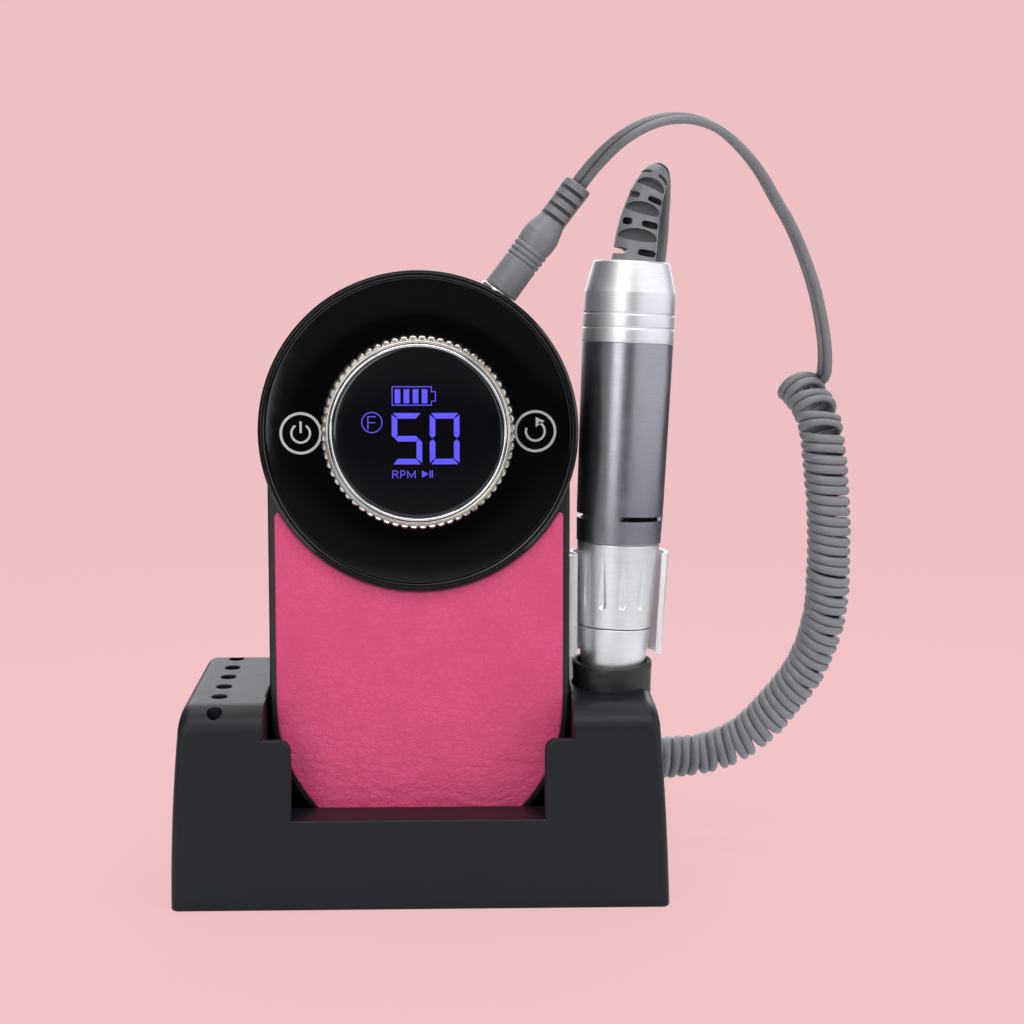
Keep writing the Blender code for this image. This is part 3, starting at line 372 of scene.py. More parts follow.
def metal(name, colour, rough, axis_turn, grain_size, depth, lines=0.0, **values):
    """Turned and blasted metal: fine speckle, and faint lines round the axis."""
    finish = Finish(name, colour, rough, 1.0, **values)
    round_lines = finish.grain(0.22, 2.0, finish.stretched((0.02, 0.02, 1.0), axis_turn))
    speckle = finish.grain(grain_size, 2.0)
    finish.shaded(finish.weighted(speckle, 0.6, round_lines, 0.4), 0.16, 0.84)
    finish.into("Roughness", finish.ramp(finish.grain(4.0, 4.0), 0.3, 0.7, rough - 0.03, rough + 0.04))
    return finish.bump(finish.weighted(speckle, 1.0 - lines, round_lines, lines), 0.4, depth).material


def leather_finish():
    finish = Finish("leather", (0.640, 0.060, 0.175), 0.5, Specular_IOR_Level=0.42, Sheen_Weight=0.08,
                    Sheen_Roughness=0.5)
    up = finish.node("SeparateXYZ", links={"Vector": finish.place}).outputs["Z"]
    low_down = finish.ramp(up, 0.018, 0.085, 1.0, 0.30, True)
    warp = finish.node("TexNoise", {"Scale": 260.0, "Detail": 3.0}, {"Vector": finish.place}).outputs["Color"]
    bent = finish.node("VectorMath", {1: (0.0016, 0.0016, 0.0016)}, {0: warp},
                       operation="MULTIPLY").outputs[0]
    where = finish.node("VectorMath", links={0: finish.place, 1: bent}, operation="ADD").outputs[0]
    flat = finish.node("Mapping", {"Scale": (0.72, 0.1, 1.0)}, {"Vector": where}).outputs[0]

    def cells(scale, border):
        """Rounded cells, 0 at their borders and 1 within."""
        away = finish.node("TexVoronoi", {"Scale": scale, "Randomness": 1.0}, {"Vector": flat},
                           feature="DISTANCE_TO_EDGE")
        return finish.ramp(away.outputs["Distance"], 0.0, border, 0.0, 1.0, True)

    pebble, fold = cells(1750.0, 0.22), cells(560.0, 0.3)
    height = finish.weighted(pebble, 0.3, finish.maths("MULTIPLY", fold, low_down), 0.6)
    height = finish.maths("ADD", height, finish.maths("MULTIPLY", finish.grain(0.35, 3.0), 0.5))
    crease = finish.maths("MULTIPLY", finish.maths("ADD", pebble, fold), 0.5)
    patch = finish.ramp(finish.grain(16.0, 3.0), 0.35, 0.65, 0.0, 1.0)
    light = finish.blend(patch, (0.605, 0.055, 0.163), (0.67, 0.067, 0.190))
    # Painted shade: the base colour goes darker along the grain's cell borders, in the creases.
    finish.into("Base Color", finish.blend(crease, (0.575, 0.050, 0.146), light))
    finish.into("Roughness", finish.ramp(crease, 0.0, 1.0, 0.62, 0.47))
    return finish.bump(height, 0.62, 0.22).material


def glow_finish():
    finish = Finish("display_glow", (0.02, 0.015, 0.12), 0.25)
    finish.set(finish.shader, {"Emission Strength": 0.92})
    even = finish.ramp(finish.grain(2.5), 0.3, 0.7, 0.0, 1.0)
    finish.into("Emission Color", finish.blend(even, (0.112, 0.088, 0.93), (0.130, 0.104, 1.0)))
    return finish.material


def clear_finish():
    finish = Finish("clear_plastic", (0.97, 0.97, 0.985), 0.2, IOR=1.46, Transmission_Weight=0.36,
                    Specular_IOR_Level=0.5)
    finish.into("Roughness", finish.ramp(finish.grain(3.0, 4.0), 0.3, 0.7, 0.12, 0.26))
    return finish.bump(finish.grain(0.6), 0.25, 0.02).material


def board_finish():
    finish = Finish("circuit_board", (0.02, 0.16, 0.07), 0.4, Coat_Weight=0.3)
    lanes = finish.node("TexBrick", {"Scale": 260.0, "Mortar Size": 0.03, "Color1": (0.02, 0.15, 0.06, 1.0),
                                               "Color2": (0.015, 0.12, 0.05, 1.0),
                                               "Mortar": (0.05, 0.26, 0.12, 1.0)},
                        {"Vector": finish.stretched((1.0, 1.0, 1.0), (math.pi / 2, 0.0, 0.0))})
    finish.into("Base Color", lanes.outputs["Color"])
    return finish.bump(lanes.outputs["Fac"], 0.3, 0.03).material


LEAN_BACK = (0.0, -HANDPIECE_TURN.y, 0.0)
CHARCOAL = plastic("dock_plastic", (0.0078, 0.0086, 0.0122), 0.43, 0.32, 0.016, Specular_IOR_Level=0.24)
SATIN_BLACK = plastic("satin_plastic", (0.0060, 0.0062, 0.0070), 0.36, 0.25, 0.010)
RIM_BLACK = plastic("rim_plastic", (0.0040, 0.0040, 0.0046), 0.17, 0.8, 0.002)
COLLAR_BLACK = plastic("collar_plastic", (0.0085, 0.0090, 0.0110), 0.40, 0.3, 0.012)
CORD_GREY = plastic("cord_plastic", (0.200, 0.199, 0.214), 0.42, 1.0, 0.003, Specular_IOR_Level=0.45)
RUBBER = plastic("foot_rubber", (0.015, 0.015, 0.015), 0.8, 0.3, 0.03)
NYLON = plastic("nylon", (0.75, 0.74, 0.70), 0.5, 0.3, 0.01)
CELL_BLUE = plastic("cell_wrap", (0.05, 0.16, 0.42), 0.35, 0.5, 0.01)
SILVER = metal("satin_silver", (0.82, 0.823, 0.85), 0.42, LEAN_BACK, 0.16, 0.012, 0.45)
GUNMETAL = metal("dark_anodised", (0.335, 0.33, 0.375), 0.31, LEAN_BACK, 0.20, 0.014, 0.25)
STEEL = metal("plain_steel", (0.56, 0.56, 0.57), 0.28, LEAN_BACK, 0.3, 0.01, 0.6)
BRASS = metal("turned_brass", (0.72, 0.52, 0.22), 0.28, LEAN_BACK, 0.3, 0.01, 0.7)
KNOB_CHROME = metal("warm_chrome", (0.65, 0.612, 0.565), 0.19, (math.pi / 2, 0.0, 0.0), 0.5, 0.012, 0.5)
BRIGHT_CHROME = metal("bright_chrome", (0.90, 0.90, 0.90), 0.10, (math.pi / 2, 0.0, 0.0), 0.6, 0.004, 0.5)
MARK_SILVER = metal("printed_silver", (0.62, 0.62, 0.64), 0.42, (math.pi / 2, 0.0, 0.0), 0.2, 0.004)
GLOSS_BLACK = plastic("polished_plastic", (0.0014, 0.0014, 0.0017), 0.09, 1.5, 0.0006,
                      Specular_IOR_Level=0.36)
LENS_BLACK = plastic("display_window", (0.0026, 0.0025, 0.0042), 0.10, 2.0, 0.0006)
LEATHER, GLOW, CLEAR, BOARD = leather_finish(), glow_finish(), clear_finish(), board_finish()


# ---------------------------------------------------------------- dock

def side_inset(z, linear, square):
    share = max(z, 0.0) / 47.0
    return linear * share + square * share * share


def dock_ring(y):
    """The dock's outside at depth y: rounded front edges, rounded shoulders and a sloped top."""
    edge = DOCK_DEPTH / 2 - abs(y)
    inset = 2.0 - math.sqrt(4.0 - (2.0 - edge) ** 2) if edge < 2.0 else 0.0
    deep, tall = SHOULDER if y < 0 else BACK_SHOULDER
    drop = tall * (1 - math.sqrt(1 - (1 - edge / deep) ** 2)) if edge < deep else 0.0
    top = DOCK_TOP + y * math.tan(DOCK_SLOPE) - drop
    radius, low = 3.4 - inset * 0.8, 0.1 + inset * 0.08
    heights = [low + 0.7 + (top - radius - low - 0.7) * i / 12 for i in range(13)]
    right = [(DOCK_RIGHT - inset - side_inset(z, 1.3, 1.3), z) for z in heights]
    left = [(DOCK_LEFT + 0.04 + inset + side_inset(z, 0.0, 2.2), z) for z in heights]
    top_right = arc(right[-1][0] - radius, top - radius, radius, 8, 90, 10)
    top_left = arc(left[-1][0] + radius, top - radius, radius, 90, 172, 10)
    foot = [(left[0][0] + 0.2, low + 0.2), (left[0][0] + 0.7, low), (right[0][0] - 0.7, low),
            (right[0][0] - 0.2, low + 0.2)]
    return upright(right + top_right + top_left + left[::-1] + foot, y)


def window_outline(margin):
    left, right = WINDOW_X[0] - margin, WINDOW_X[1] + margin
    slot_left, slot_right = SLOT_X[0] - margin, SLOT_X[1] + margin
    lip, ledge = LIP_TOP - margin, LEDGE_TOP - margin
    return ([(left, ledge), (right, ledge)]
            + arc(right + LIP_RADIUS, lip - LIP_RADIUS, LIP_RADIUS, 180, 90, 12)
            + [(slot_right, lip), (slot_right, 80.0), (slot_left, 80.0), (slot_left, lip)]
            + arc(left - LIP_RADIUS, lip - LIP_RADIUS, LIP_RADIUS, 90, 0, 12))


def slot_cutter():
    """The pocket for the control unit, with its mouth eased where it meets the sloped top."""
    rings = []
    for margin, rise in ((0.0, None), (0.0, -0.6), (0.18, -0.18), (0.6, 0.0), (0.6, 30.0)):
        ring = []
        for x, y in ((SLOT_X[0] - margin, SLOT_Y[0] - margin), (SLOT_X[1] + margin, SLOT_Y[0] - margin),
                     (SLOT_X[1] + margin, SLOT_Y[1] + margin), (SLOT_X[0] - margin, SLOT_Y[1] + margin)):
            ring.append((x, y, SLOT_FLOOR if rise is None else DOCK_TOP + y * math.tan(DOCK_SLOPE) + rise))
        rings.append(ring)
    return solid("slot", *loft(rings))


def make_dock():
    eases = [1 - math.cos(math.radians(7.5 * k)) for k in range(13)]
    depths = [-DOCK_DEPTH / 2 + SHOULDER[0] * e for e in eases] + [-18.0, -12.0, -6.0, 0.0, 6.0, 12.0, 18.0]
    depths += [DOCK_DEPTH / 2 - BACK_SHOULDER[0] * e for e in eases[::-1]]
    body = solid("dock_body", *loft([dock_ring(y) for y in depths]))
    front = -DOCK_DEPTH / 2
    window = [upright(window_outline(margin), y) for margin, y in
              ((0.9, -60.0), (0.9, front), (0.42, front + 0.12), (0.12, front + 0.42), (0.0, front + 0.9),
               (0.0, SLOT_Y[0] + 1.0))]
    cutters = [slot_cutter(), solid("window", *loft(window)),
               turned("collar_seat", [(0.0, 90.0), (11.7, 90.0), (11.7, 55.1), (9.7, 55.1), (9.7, 43.7),
                                      (0.0, 43.7)],
                      (COLLAR_X, TIP.y, 0.0), None, 96, False),
               box("left_lip_gap", (SLOT_X[0], LIP_BACK, LEDGE_TOP),
                   (WINDOW_X[0] + 2.0, SLOT_Y[0] + 1.0, 80.0)),
               box("right_lip_gap", (WINDOW_X[1] - 2.0, LIP_BACK, LEDGE_TOP),
                   (SLOT_X[1], SLOT_Y[0] + 1.0, 80.0)),
               box("base_recess", (DOCK_LEFT + 2.9, -27.2, -5.0), (DOCK_RIGHT - 2.9, 27.2, 2.9))]
    for index in range(BIT_HOLES):
        y = max(BIT_PITCH * (index - (BIT_HOLES - 1) / 2), FRONT_BIT_Y) if index else FRONT_BIT_Y
        z = DOCK_TOP + y * math.tan(DOCK_SLOPE)
        cutters.append(turned(f"bit_{index}",
                              [(0.0, 4.0), (2.5, 4.0), (2.5, -0.05), (2.25, -0.15), (2.1, -0.45),
                                               (2.1, -20.0), (0.0, -20.0)],
                              (BIT_X, y, z), Euler((DOCK_SLOPE, 0.0, 0.0)), 40, False))
    cut(body, *cutters)
    weighted = body.modifiers.new("even_normals", "WEIGHTED_NORMAL")
    weighted.keep_sharp = True
    piece(body, "dock", CHARCOAL, ["dock_shell"], 30.0)


def make_collar():
    top, radius = 64.8, 11.4
    profile = [
        (10.0, top, 0.3), (radius, top, 0.55), (radius, top - 1.5, 0.9), (radius - 0.12, top - 2.6, 0.9),
        (radius - 0.25, 56.6), (radius - 0.25, 55.4), (9.4, 55.4), (9.4, 44.0), (3.0, 44.0), (3.0, 45.6),
        (8.0, 45.6), (8.0, 55.4), (10.0, 57.4),
    ]
    verts, faces = lathe(profile, 120)
    sloped = [(x, y, z + y * math.tan(DOCK_SLOPE) * min(1.0, max(0.0, (z - 55.4) / 3.0))) for x, y,
              z in verts]
    collar = solid("collar_ring", placed(sloped, (COLLAR_X, TIP.y, 0.0)), faces)
    piece(collar, "dock", COLLAR_BLACK, ["handpiece_collar"])


# ---------------------------------------------------------------- control unit

def foot_arcs(inset, side):
    centre_x = UNIT_X + side * (UNIT_HALF - BEND_RADIUS)
    reach = BEND_RADIUS - TOE_RADIUS
    turn = math.degrees(math.asin((BEND_Z - UNIT_BOTTOM - TOE_RADIUS) / reach))
    start = 0.0 if side > 0 else 180.0
    bend = arc(centre_x, BEND_Z, BEND_RADIUS - inset, start, start - side * turn, 20)
    toe = arc(centre_x + side * reach * math.cos(math.radians(turn)), UNIT_BOTTOM + TOE_RADIUS,
              TOE_RADIUS - inset,
              start - side * turn, start - side * 90.0, 10)
    return bend + toe[1:]


def unit_outline(inset):
    radius, half = HEAD_RADIUS - inset, UNIT_HALF - inset
    corner = math.degrees(math.acos(half / radius))
    head = arc(UNIT_X, HEAD_Z, radius, -corner, 180 + corner, 120)
    return head + foot_arcs(inset, -1) + foot_arcs(inset, 1)[::-1]


def housing(name, steps):
    """A casing half lofted through (depth, inset) steps."""
    return solid(name, *loft([upright(unit_outline(inset), y) for y, inset in steps]))


def jack_cutters():
    return [rod("jack_seat", PLUG_END, PLUG_TURN, 6.4, -1.8, 10.0),
            rod("jack_bore", PLUG_END, PLUG_TURN, 4.9, -16.0, 10.0)]


def make_housings():
    seam, front, back, wall = -3.8, -14.0, 11.5, 2.0
    steps = [(front + wall, wall), (seam, wall), (seam, 0.35), (seam - 0.3, 0.0)]
    steps += [(front + depth, inset) for inset, depth in round_over(0.9)[::-1]]
    half = housing("front_casing", steps)
    cut(half, rod("dial_opening", HEAD_PLACE, TOWARDS_USER, 25.7, -6.0, 30.0, 96), *jack_cutters())
    piece(half, "control_unit", SATIN_BLACK, ["front_housing"])

    steps = [(back - wall, wall), (seam + 0.3, wall), (seam + 0.3, 0.35), (seam + 0.6, 0.0)]
    steps += [(back - depth, inset) for inset, depth in round_over(2.6, 8)[::-1]]
    half = housing("back_casing", steps)
    bores = [turned("screw_bore", [(0.0, 3.0), (3.3, 3.0), (3.0, -0.2), (3.0, -1.3), (1.7, -1.3), (1.7, -9.0),
                                   (0.0, -9.0)],
                    (UNIT_X + x, back, z), Euler((-math.pi / 2, 0.0, 0.0)), 40, False)
             for x, z in ((-33.0, 74.0), (33.0, 74.0), (-27.5, 157.5), (31.0, 150.0))]
    socket = box("socket_hole", (UNIT_X - UNIT_HALF - 5.0, -1.3, 96.1),
                 (UNIT_X - UNIT_HALF + 5.0, 3.2, 105.9))
    cut(half, *jack_cutters(), *bores, socket)
    piece(half, "control_unit", SATIN_BLACK, ["rear_housing"])


def head_part(name, profile, material, node, body="control_unit", steps=200, ring=True):
    return piece(turned(name, profile, HEAD_PLACE, TOWARDS_USER, steps, ring), body, material, [node])


def make_head():
    rim = [(42.35, 14.3), (42.35, 16.6, 0.15), (42.75, 16.78, 0.2), (43.5, 16.8, 0.25),
           (HEAD_RADIUS, 16.2, 0.25), (HEAD_RADIUS, 14.3)]
    head_part("head_rim", rim, RIM_BLACK, "head_bezel")
    plate = [(25.7, 14.3), (25.7, FACE_HEIGHT, 0.15), (42.1, FACE_HEIGHT, 0.3), (42.1, 14.3)]
    head_part("polished_face", plate, GLOSS_BLACK, "face_plate")


def make_knob():
    """The dial ring. Half-round ribs stand round its edge."""
    ribs, fine, depth = 64, 10, 0.85
    bead = [(r, z, 0.0) for r, z in arc(24.7, 23.46, 0.42, 180.0, 0.0, 12)]
    profile = [(24.28, 9.4, 0.0)] + bead + [(25.14, 23.2, 0.0), (25.4, 23.3, 0.1),
               (25.85, 23.62, 0.6), (26.2, 23.35, 0.9), (26.42, 22.9, 1.0), (26.5, 22.2, 1.0),
               (26.5, 19.2, 1.0), (26.3, 18.4, 0.9),
               (25.9, 17.6, 0.4), (25.7, 16.9, 0.0), (25.3, 16.9, 0.0), (25.3, 9.4, 0.0)]
    rings = []
    for k in range(ribs * fine):
        angle = 2 * math.pi * k / (ribs * fine)
        across = 2 * (k % fine) / fine - 1
        valley = 1 - math.sqrt(1 - across * across)
        rings.append([((r - depth * share * valley) * math.cos(angle),
                       (r - depth * share * valley) * math.sin(angle), z)
                      for r, z, share in profile])
    verts, faces = loft(rings, closed=True)
    knob = solid("dial_ring", placed(verts, HEAD_PLACE, TOWARDS_USER), faces)
    piece(knob, "speed_knob", KNOB_CHROME, ["speed_knob"], 50.0)


def make_window():
    lens = list(LENS_PROFILE) + [(23.3, 21.9), (0.0, 21.9)]
    head_part("display_window", lens, LENS_BLACK, "display_lens", "display_button", 128, False)
    rim = [(23.34, 21.6)] + arc(23.72, 23.88, 0.38, 180.0, 0.0, 12) + [(24.1, 20.6), (21.4, 20.6),
                                                                       (21.4, 21.6)]
    head_part("window_rim", rim, BRIGHT_CHROME, "display_bezel", "display_button")


def stroke(points, width, closed=False):
    """Bars of one width along a polyline, each half a width longer at both ends, as flat outlines."""
    shapes = []
    ends = list(zip(points, points[1:] + points[:1] if closed else points[1:]))
    for (ax, az), (bx, bz) in ends:
        length = math.hypot(bx - ax, bz - az)
        ux, uz = (bx - ax) / length * width / 2, (bz - az) / length * width / 2
        shapes.append([(ax - ux + uz, az - uz - ux), (bx + ux + uz, bz + uz - ux),
                       (bx + ux - uz, bz + uz + ux), (ax - ux - uz, az - uz + ux)])
    return shapes


def circle(x, z, radius, width, start=0.0, end=360.0):
    """Short bars along an arc, as one strip of outlines."""
    count = max(6, round(abs(end - start) / 7.5))
    shapes = []
    for k in range(count):
        a, b = (start + (end - start) * j / count for j in (k, k + 1))
        inner, outer = arc(x, z, radius - width / 2, a, b, 1), arc(x, z, radius + width / 2, b, a, 1)
        shapes.append(inner + outer)
    return shapes


def digit(x0, x1, top, low, lit):
    """Mitred bars of a seven-segment digit."""
    width, gap, chamfer = 1.52, 0.13, 0.3
    middle, half = (top + low) / 2, width / 2

    def level(z, down):
        inner = z - down * width
        return [(x0 + gap + 0.25, z), (x1 - gap - 0.25, z), (x1 - width - gap, inner),
                (x0 + width + gap, inner)]

    def standing(x, inwards, z, down):
        foot = middle + down * (half + gap)
        return [(x, z - down * (gap + chamfer)), (x + inwards * width, z - down * (width + gap)),
                (x + inwards * width, foot), (x + inwards * half, middle + down * gap), (x, foot)]

    bars = {"a": level(top, 1), "d": level(low, -1), "f": standing(x0, 1, top, 1),
            "b": standing(x1, -1, top, 1),
            "e": standing(x0, 1, low, -1), "c": standing(x1, -1, low, -1),
            "g": [(x0 + half + gap, middle), (x0 + width + gap, middle + half),
                  (x1 - width - gap, middle + half),
                  (x1 - half - gap, middle), (x1 - width - gap, middle - half),
                  (x0 + width + gap, middle - half)]}
    return [bars[name] for name in lit]


def raised(name, shapes, surface, rise, body, material):
    """Flat outlines as thin inlays that follow a surface height given by distance from the head's axis."""
    parts = []
    for shape in shapes:
        rings = [[(x, z, surface(math.hypot(x, z)) + lift) for x, z in shape] for lift in (-0.1, rise)]
        parts.append(loft(rings))
    verts, faces = merged(*parts)
    upright_verts = [(UNIT_X + x, -height, HEAD_Z + z) for x, z, height in verts]
    return piece(solid(name, upright_verts, faces), body, material)


def make_graphics():
    radii, heights = zip(*LENS_PROFILE)

    def window(radius):
        return float(np.interp(radius, radii, heights))

    def face(_):
        return FACE_HEIGHT

    digits = digit(-7.12, 1.1, 5.43, -8.52, "afgcd") + digit(3.18, 11.27, 5.43, -8.52, "abcdef")
    battery = stroke([(-6.95, 12.53), (3.68, 12.53), (3.68, 11.2), (4.76, 11.2), (4.76, 8.64), (3.68, 8.64),
                      (3.68, 7.54),
                      (-6.95, 7.54)], 0.24, True)
    battery += [[(x, 8.05), (x + 1.53, 8.05), (x + 1.53, 11.87), (x, 11.87)] for x in (-6.26, -3.84, -1.38,
                                                                                       1.07)]
    marks = circle(-12.47, 2.87, 2.74, 0.25)
    marks += stroke([(-13.55, 1.1), (-13.55, 4.45), (-11.5, 4.45)],
                    0.25) + stroke([(-13.55, 2.83), (-11.65, 2.83)], 0.25)
    marks += stroke([(-6.9, -12.2), (-6.9, -10.27), (-5.95, -10.27), (-5.6, -10.5), (-5.6, -11.0),
                     (-5.95, -11.25), (-6.8, -11.25)], 0.23)
    marks += stroke([(-6.1, -11.3), (-5.5, -12.2)], 0.23)
    marks += stroke([(-4.75, -12.2), (-4.75, -10.27), (-3.95, -10.27), (-3.62, -10.55), (-3.62, -11.1),
                     (-3.95, -11.4), (-4.65, -11.4)], 0.23)
    marks += stroke([(-2.85, -12.2), (-2.85, -10.35), (-1.85, -12.0), (-0.8, -10.35), (-0.8, -12.2)], 0.23)
    marks += [[(1.03, -10.19), (1.03, -12.14), (2.8, -11.16)]]
    marks += [[(x, -10.2), (x + 0.3, -10.2), (x + 0.3, -12.14), (x, -12.14)] for x in (3.12, 3.68)]
    for name, shapes in (("readout_digits", digits), ("readout_battery", battery), ("readout_marks", marks)):
        raised(name, shapes, window, 0.03, "display_button", GLOW)

    left, right, z = -32.35, 32.2, -0.4
    power = circle(left, z, 5.45, 0.72) + circle(left, z, 2.55, 0.62, 125.0,
                                                 415.0) + stroke([(left, z + 0.4), (left, z + 3.0)], 0.62)
    raised("power_mark", power, face, 0.04, "control_unit", MARK_SILVER)
    turn = circle(right, z + 0.5, 5.45, 0.72) + circle(right, z + 0.5, 2.6, 0.62, -200.0, 70.0)
    turn += [[(right + 0.1, z + 4.4), (right + 0.1, z + 1.6), (right + 2.5, z + 3.3)][::-1]]
    raised("direction_mark", turn, face, 0.04, "control_unit", MARK_SILVER)


# ---------------------------------------------------------------- leather front

def leather_reach(across):
    """Lowest and highest point of the leather at that distance from the unit's middle."""
    half = UNIT_HALF - LEATHER_INSET
    corner_x, round_off = math.sqrt(LEATHER_CIRCLE ** 2 - (HEAD_Z - LEATHER_TOP) ** 2), 1.4
    if across < corner_x:
        high = HEAD_Z - math.sqrt(LEATHER_CIRCLE ** 2 - across ** 2)
    else:
        over = max(0.0, across - (half - round_off))
        high = LEATHER_TOP - (round_off - math.sqrt(max(0.0, round_off ** 2 - over ** 2)))
    reach = BEND_RADIUS - TOE_RADIUS
    turn = math.asin((BEND_Z - UNIT_BOTTOM - TOE_RADIUS) / reach)
    shift, toe_x = BEND_RADIUS - UNIT_HALF, reach * math.cos(turn) - (BEND_RADIUS - UNIT_HALF)
    toe = TOE_RADIUS - LEATHER_INSET
    if across > toe_x + toe * math.cos(turn):
        low = BEND_Z - math.sqrt(max(0.0, (BEND_RADIUS - LEATHER_INSET) ** 2 - (across + shift) ** 2))
    elif across > toe_x:
        low = UNIT_BOTTOM + TOE_RADIUS - math.sqrt(toe ** 2 - (across - toe_x) ** 2)
    else:
        low = UNIT_BOTTOM + LEATHER_INSET
    return low, high


def wrinkle(x, z):
    """Height of the leather's creases, stronger low down."""
    low_down = max(0.0, min(1.0, (78.0 - z) / 58.0)) ** 1.5
    sway = noise.noise(Vector((x * 0.05, 0.0, z * 0.05))) * 5.0
    long_folds = noise.noise(Vector((x * 0.10, 3.0, (z + sway) * 0.42)))
    short_folds = noise.noise(Vector((x * 0.34, 7.0, (z + sway) * 0.75)))
    swell = noise.noise(Vector((x * 0.06, 11.0, z * 0.06)))
    return low_down * (0.19 * long_folds + 0.15 * short_folds) + 0.05 * swell


def make_leather():
    columns, rows, thick = 200, 190, 1.0
    half = UNIT_HALF - LEATHER_INSET - 0.001
    grid = []
    for i in range(columns + 1):
        phi = math.pi * (i / columns - 0.5)
        x = half * (0.5 * math.sin(phi) + 0.5 * 2 * phi / math.pi)
        low, high = leather_reach(abs(x))
        shares = [(1 - math.cos(math.pi * j / rows)) / 2 * 0.35 + j / rows * 0.65 for j in range(rows + 1)]
        grid.append([(x, low + (high - low) * s) for s in shares])
    grid = np.array(grid)
    border = np.vstack([grid[:, 0], grid[-1, 1:], grid[::-1, -1][1:], grid[0, ::-1][1:-1]])
    after = np.roll(border, -1, axis=0)
    flat = grid.reshape(-1, 2)
    away = np.full(len(flat), 1e9)
    for a, b in zip(border[::2], after[1::2]):
        span = b - a
        t = np.clip(((flat - a) @ span) / max(span @ span, 1e-12), 0.0, 1.0)
        away = np.minimum(away, np.linalg.norm(flat - (a + t[:, None] * span), axis=1))
    roll = 0.8
    inwards = np.clip(away / roll, 0.0, 1.0)
    edge = (1 - np.sqrt(1 - (1 - inwards) ** 2)) * roll * 0.8
    pillow = 0.12 * (1 - np.exp(-away / 5.0))
    fade = np.clip(away / 2.5, 0.0, 1.0)
    fronts = [(UNIT_X + x, -(LEATHER_FRONT - 0.15 + p - e + f * wrinkle(x, z)), z)
              for (x, z), e, p, f in zip(flat, edge, pillow, fade)]
    size = rows + 1

    def at(i, j):
        return i * size + j

    faces = [(at(i, j), at(i + 1, j), at(i + 1, j + 1), at(i, j + 1))
             for i in range(columns) for j in range(rows)]
    loop = ([at(i, 0) for i in range(columns + 1)] + [at(columns, j) for j in range(1, size)]
            + [at(i, rows) for i in range(columns - 1, -1, -1)] + [at(0, j) for j in range(rows - 1, 0, -1)])
    backs = [(fronts[k][0], -(LEATHER_FRONT - thick), fronts[k][2]) for k in loop]
    first = len(fronts)
    count = len(loop)
    faces += [(loop[(k + 1) % count], loop[k], first + k, first + (k + 1) % count) for k in range(count)]
    faces.append(tuple(range(first, first + count)))
    piece(solid("leather_front", fronts + backs, faces), "control_unit", LEATHER,
          ["leather_panel"], 60.0)


# ---------------------------------------------------------------- clip, jack and plug

def clip_outline(inset):
    """The C of the clip seen from above, drawn in all round by inset."""
    radius, thick, wrap = 14.3, 1.4, 112.0
    trim = math.degrees(inset / radius)
    outer = arc(0.0, 0.0, radius - inset, 90 - wrap + trim, 90 + wrap - trim, 64)
    inner = arc(0.0, 0.0, radius - thick + inset, 90 + wrap - trim, 90 - wrap + trim, 64)
    return outer + inner


def make_clip():
    low, high = 66.6, 96.2
    anchor = UNIT_X + UNIT_HALF + 0.35
    levels = [(low + depth, inset) for inset, depth in round_over(0.45, 4)]
    levels += [(high - depth, inset) for inset, depth in round_over(0.45, 4)[::-1]]
    rings = []
    for z, inset in levels:
        narrow = 0.935 + 0.065 * (z - low) / (high - low)
        rings.append([(anchor + (14.3 + x) * narrow, TIP.y + y * narrow, z) for x, y in clip_outline(inset)])
    parts = [loft(rings)]
    for z in (76.0, 89.0):
        verts, faces = lathe([(0.0, 1.9), (1.3, 1.9), (1.3, -3.6), (0.0, -3.6)], 32, False)
        parts.append((placed(verts, (UNIT_X + UNIT_HALF, -8.6, z), Euler((0.0, math.pi / 2, 0.0))), faces))
    pad = [[(x, y, z) for x, y in ((anchor - 0.28, -10.6), (anchor + 1.15, -10.6), (anchor + 1.15, 3.0),
                                   (anchor - 0.28, 3.0))]
           for z in (low + 0.4, high - 0.4)]
    parts.append(loft(pad))
    piece(solid("clear_clip", *merged(*parts)), "control_unit", CLEAR, ["handpiece_clip"])


def make_plug():
    nut = turned("jack_ring", [(4.0, -1.8), (4.0, -0.75, 0.1), (5.1, -0.72, 0.15), (5.6, -0.95, 0.2),
                               (5.6, -1.8)],
                 PLUG_END, PLUG_TURN, 96)
    piece(nut, "control_unit", BRIGHT_CHROME, ["jack_nut"])
    profile = [
        (0.0, 6.0), (2.0, 6.0), (2.0, -0.45), (4.7, -0.45, 0.2), (5.05, -0.1, 0.3), (4.95, 9.2, 0.3),
        (4.7, 9.55, 0.15), (4.7, 9.75, 0.1), (5.08, 10.05, 0.35), (5.08, 10.85, 0.35), (4.72, 11.1, 0.1),
        (4.72, 11.3, 0.1), (5.12, 11.65, 0.35), (5.12, 12.45, 0.35), (4.76, 12.75, 0.1), (4.76, 12.95, 0.1),
        (5.16, 13.3, 0.35), (5.16, 14.1, 0.35), (4.86, 14.4, 0.1), (5.05, 14.8, 0.3), (5.3, 16.8, 1.5),
        (5.3, 19.0, 2.0), (4.55, 22.0, 3.0), (4.02, 23.9, 1.0), (4.02, 30.0), (4.15, 36.0, 0.2),
        (3.9, 36.4, 0.3), (0.0, 36.4),
    ]
    grip = turned("cord_plug_grip", profile[::-1], PLUG_END, PLUG_TURN, 96, False)
    cutters = []
    for t in (24.75, 27.7, 30.65, 33.6):
        for side in (-1, 1):
            slot = [[(x, side * y, t + dz) for x,
                     y in ((-4.3, 0.9), (3.45, 0.9), (3.45, 9.0), (-4.3, 9.0))] for dz in (-0.53, 0.53)]
            verts, faces = loft(slot)
            cutters.append(solid("plug_slot", placed(verts, PLUG_END, PLUG_TURN), faces))
    piece(cut(grip, *cutters), "cord_plug", CORD_GREY, ["plug_overmold"])


# ---------------------------------------------------------------- cord

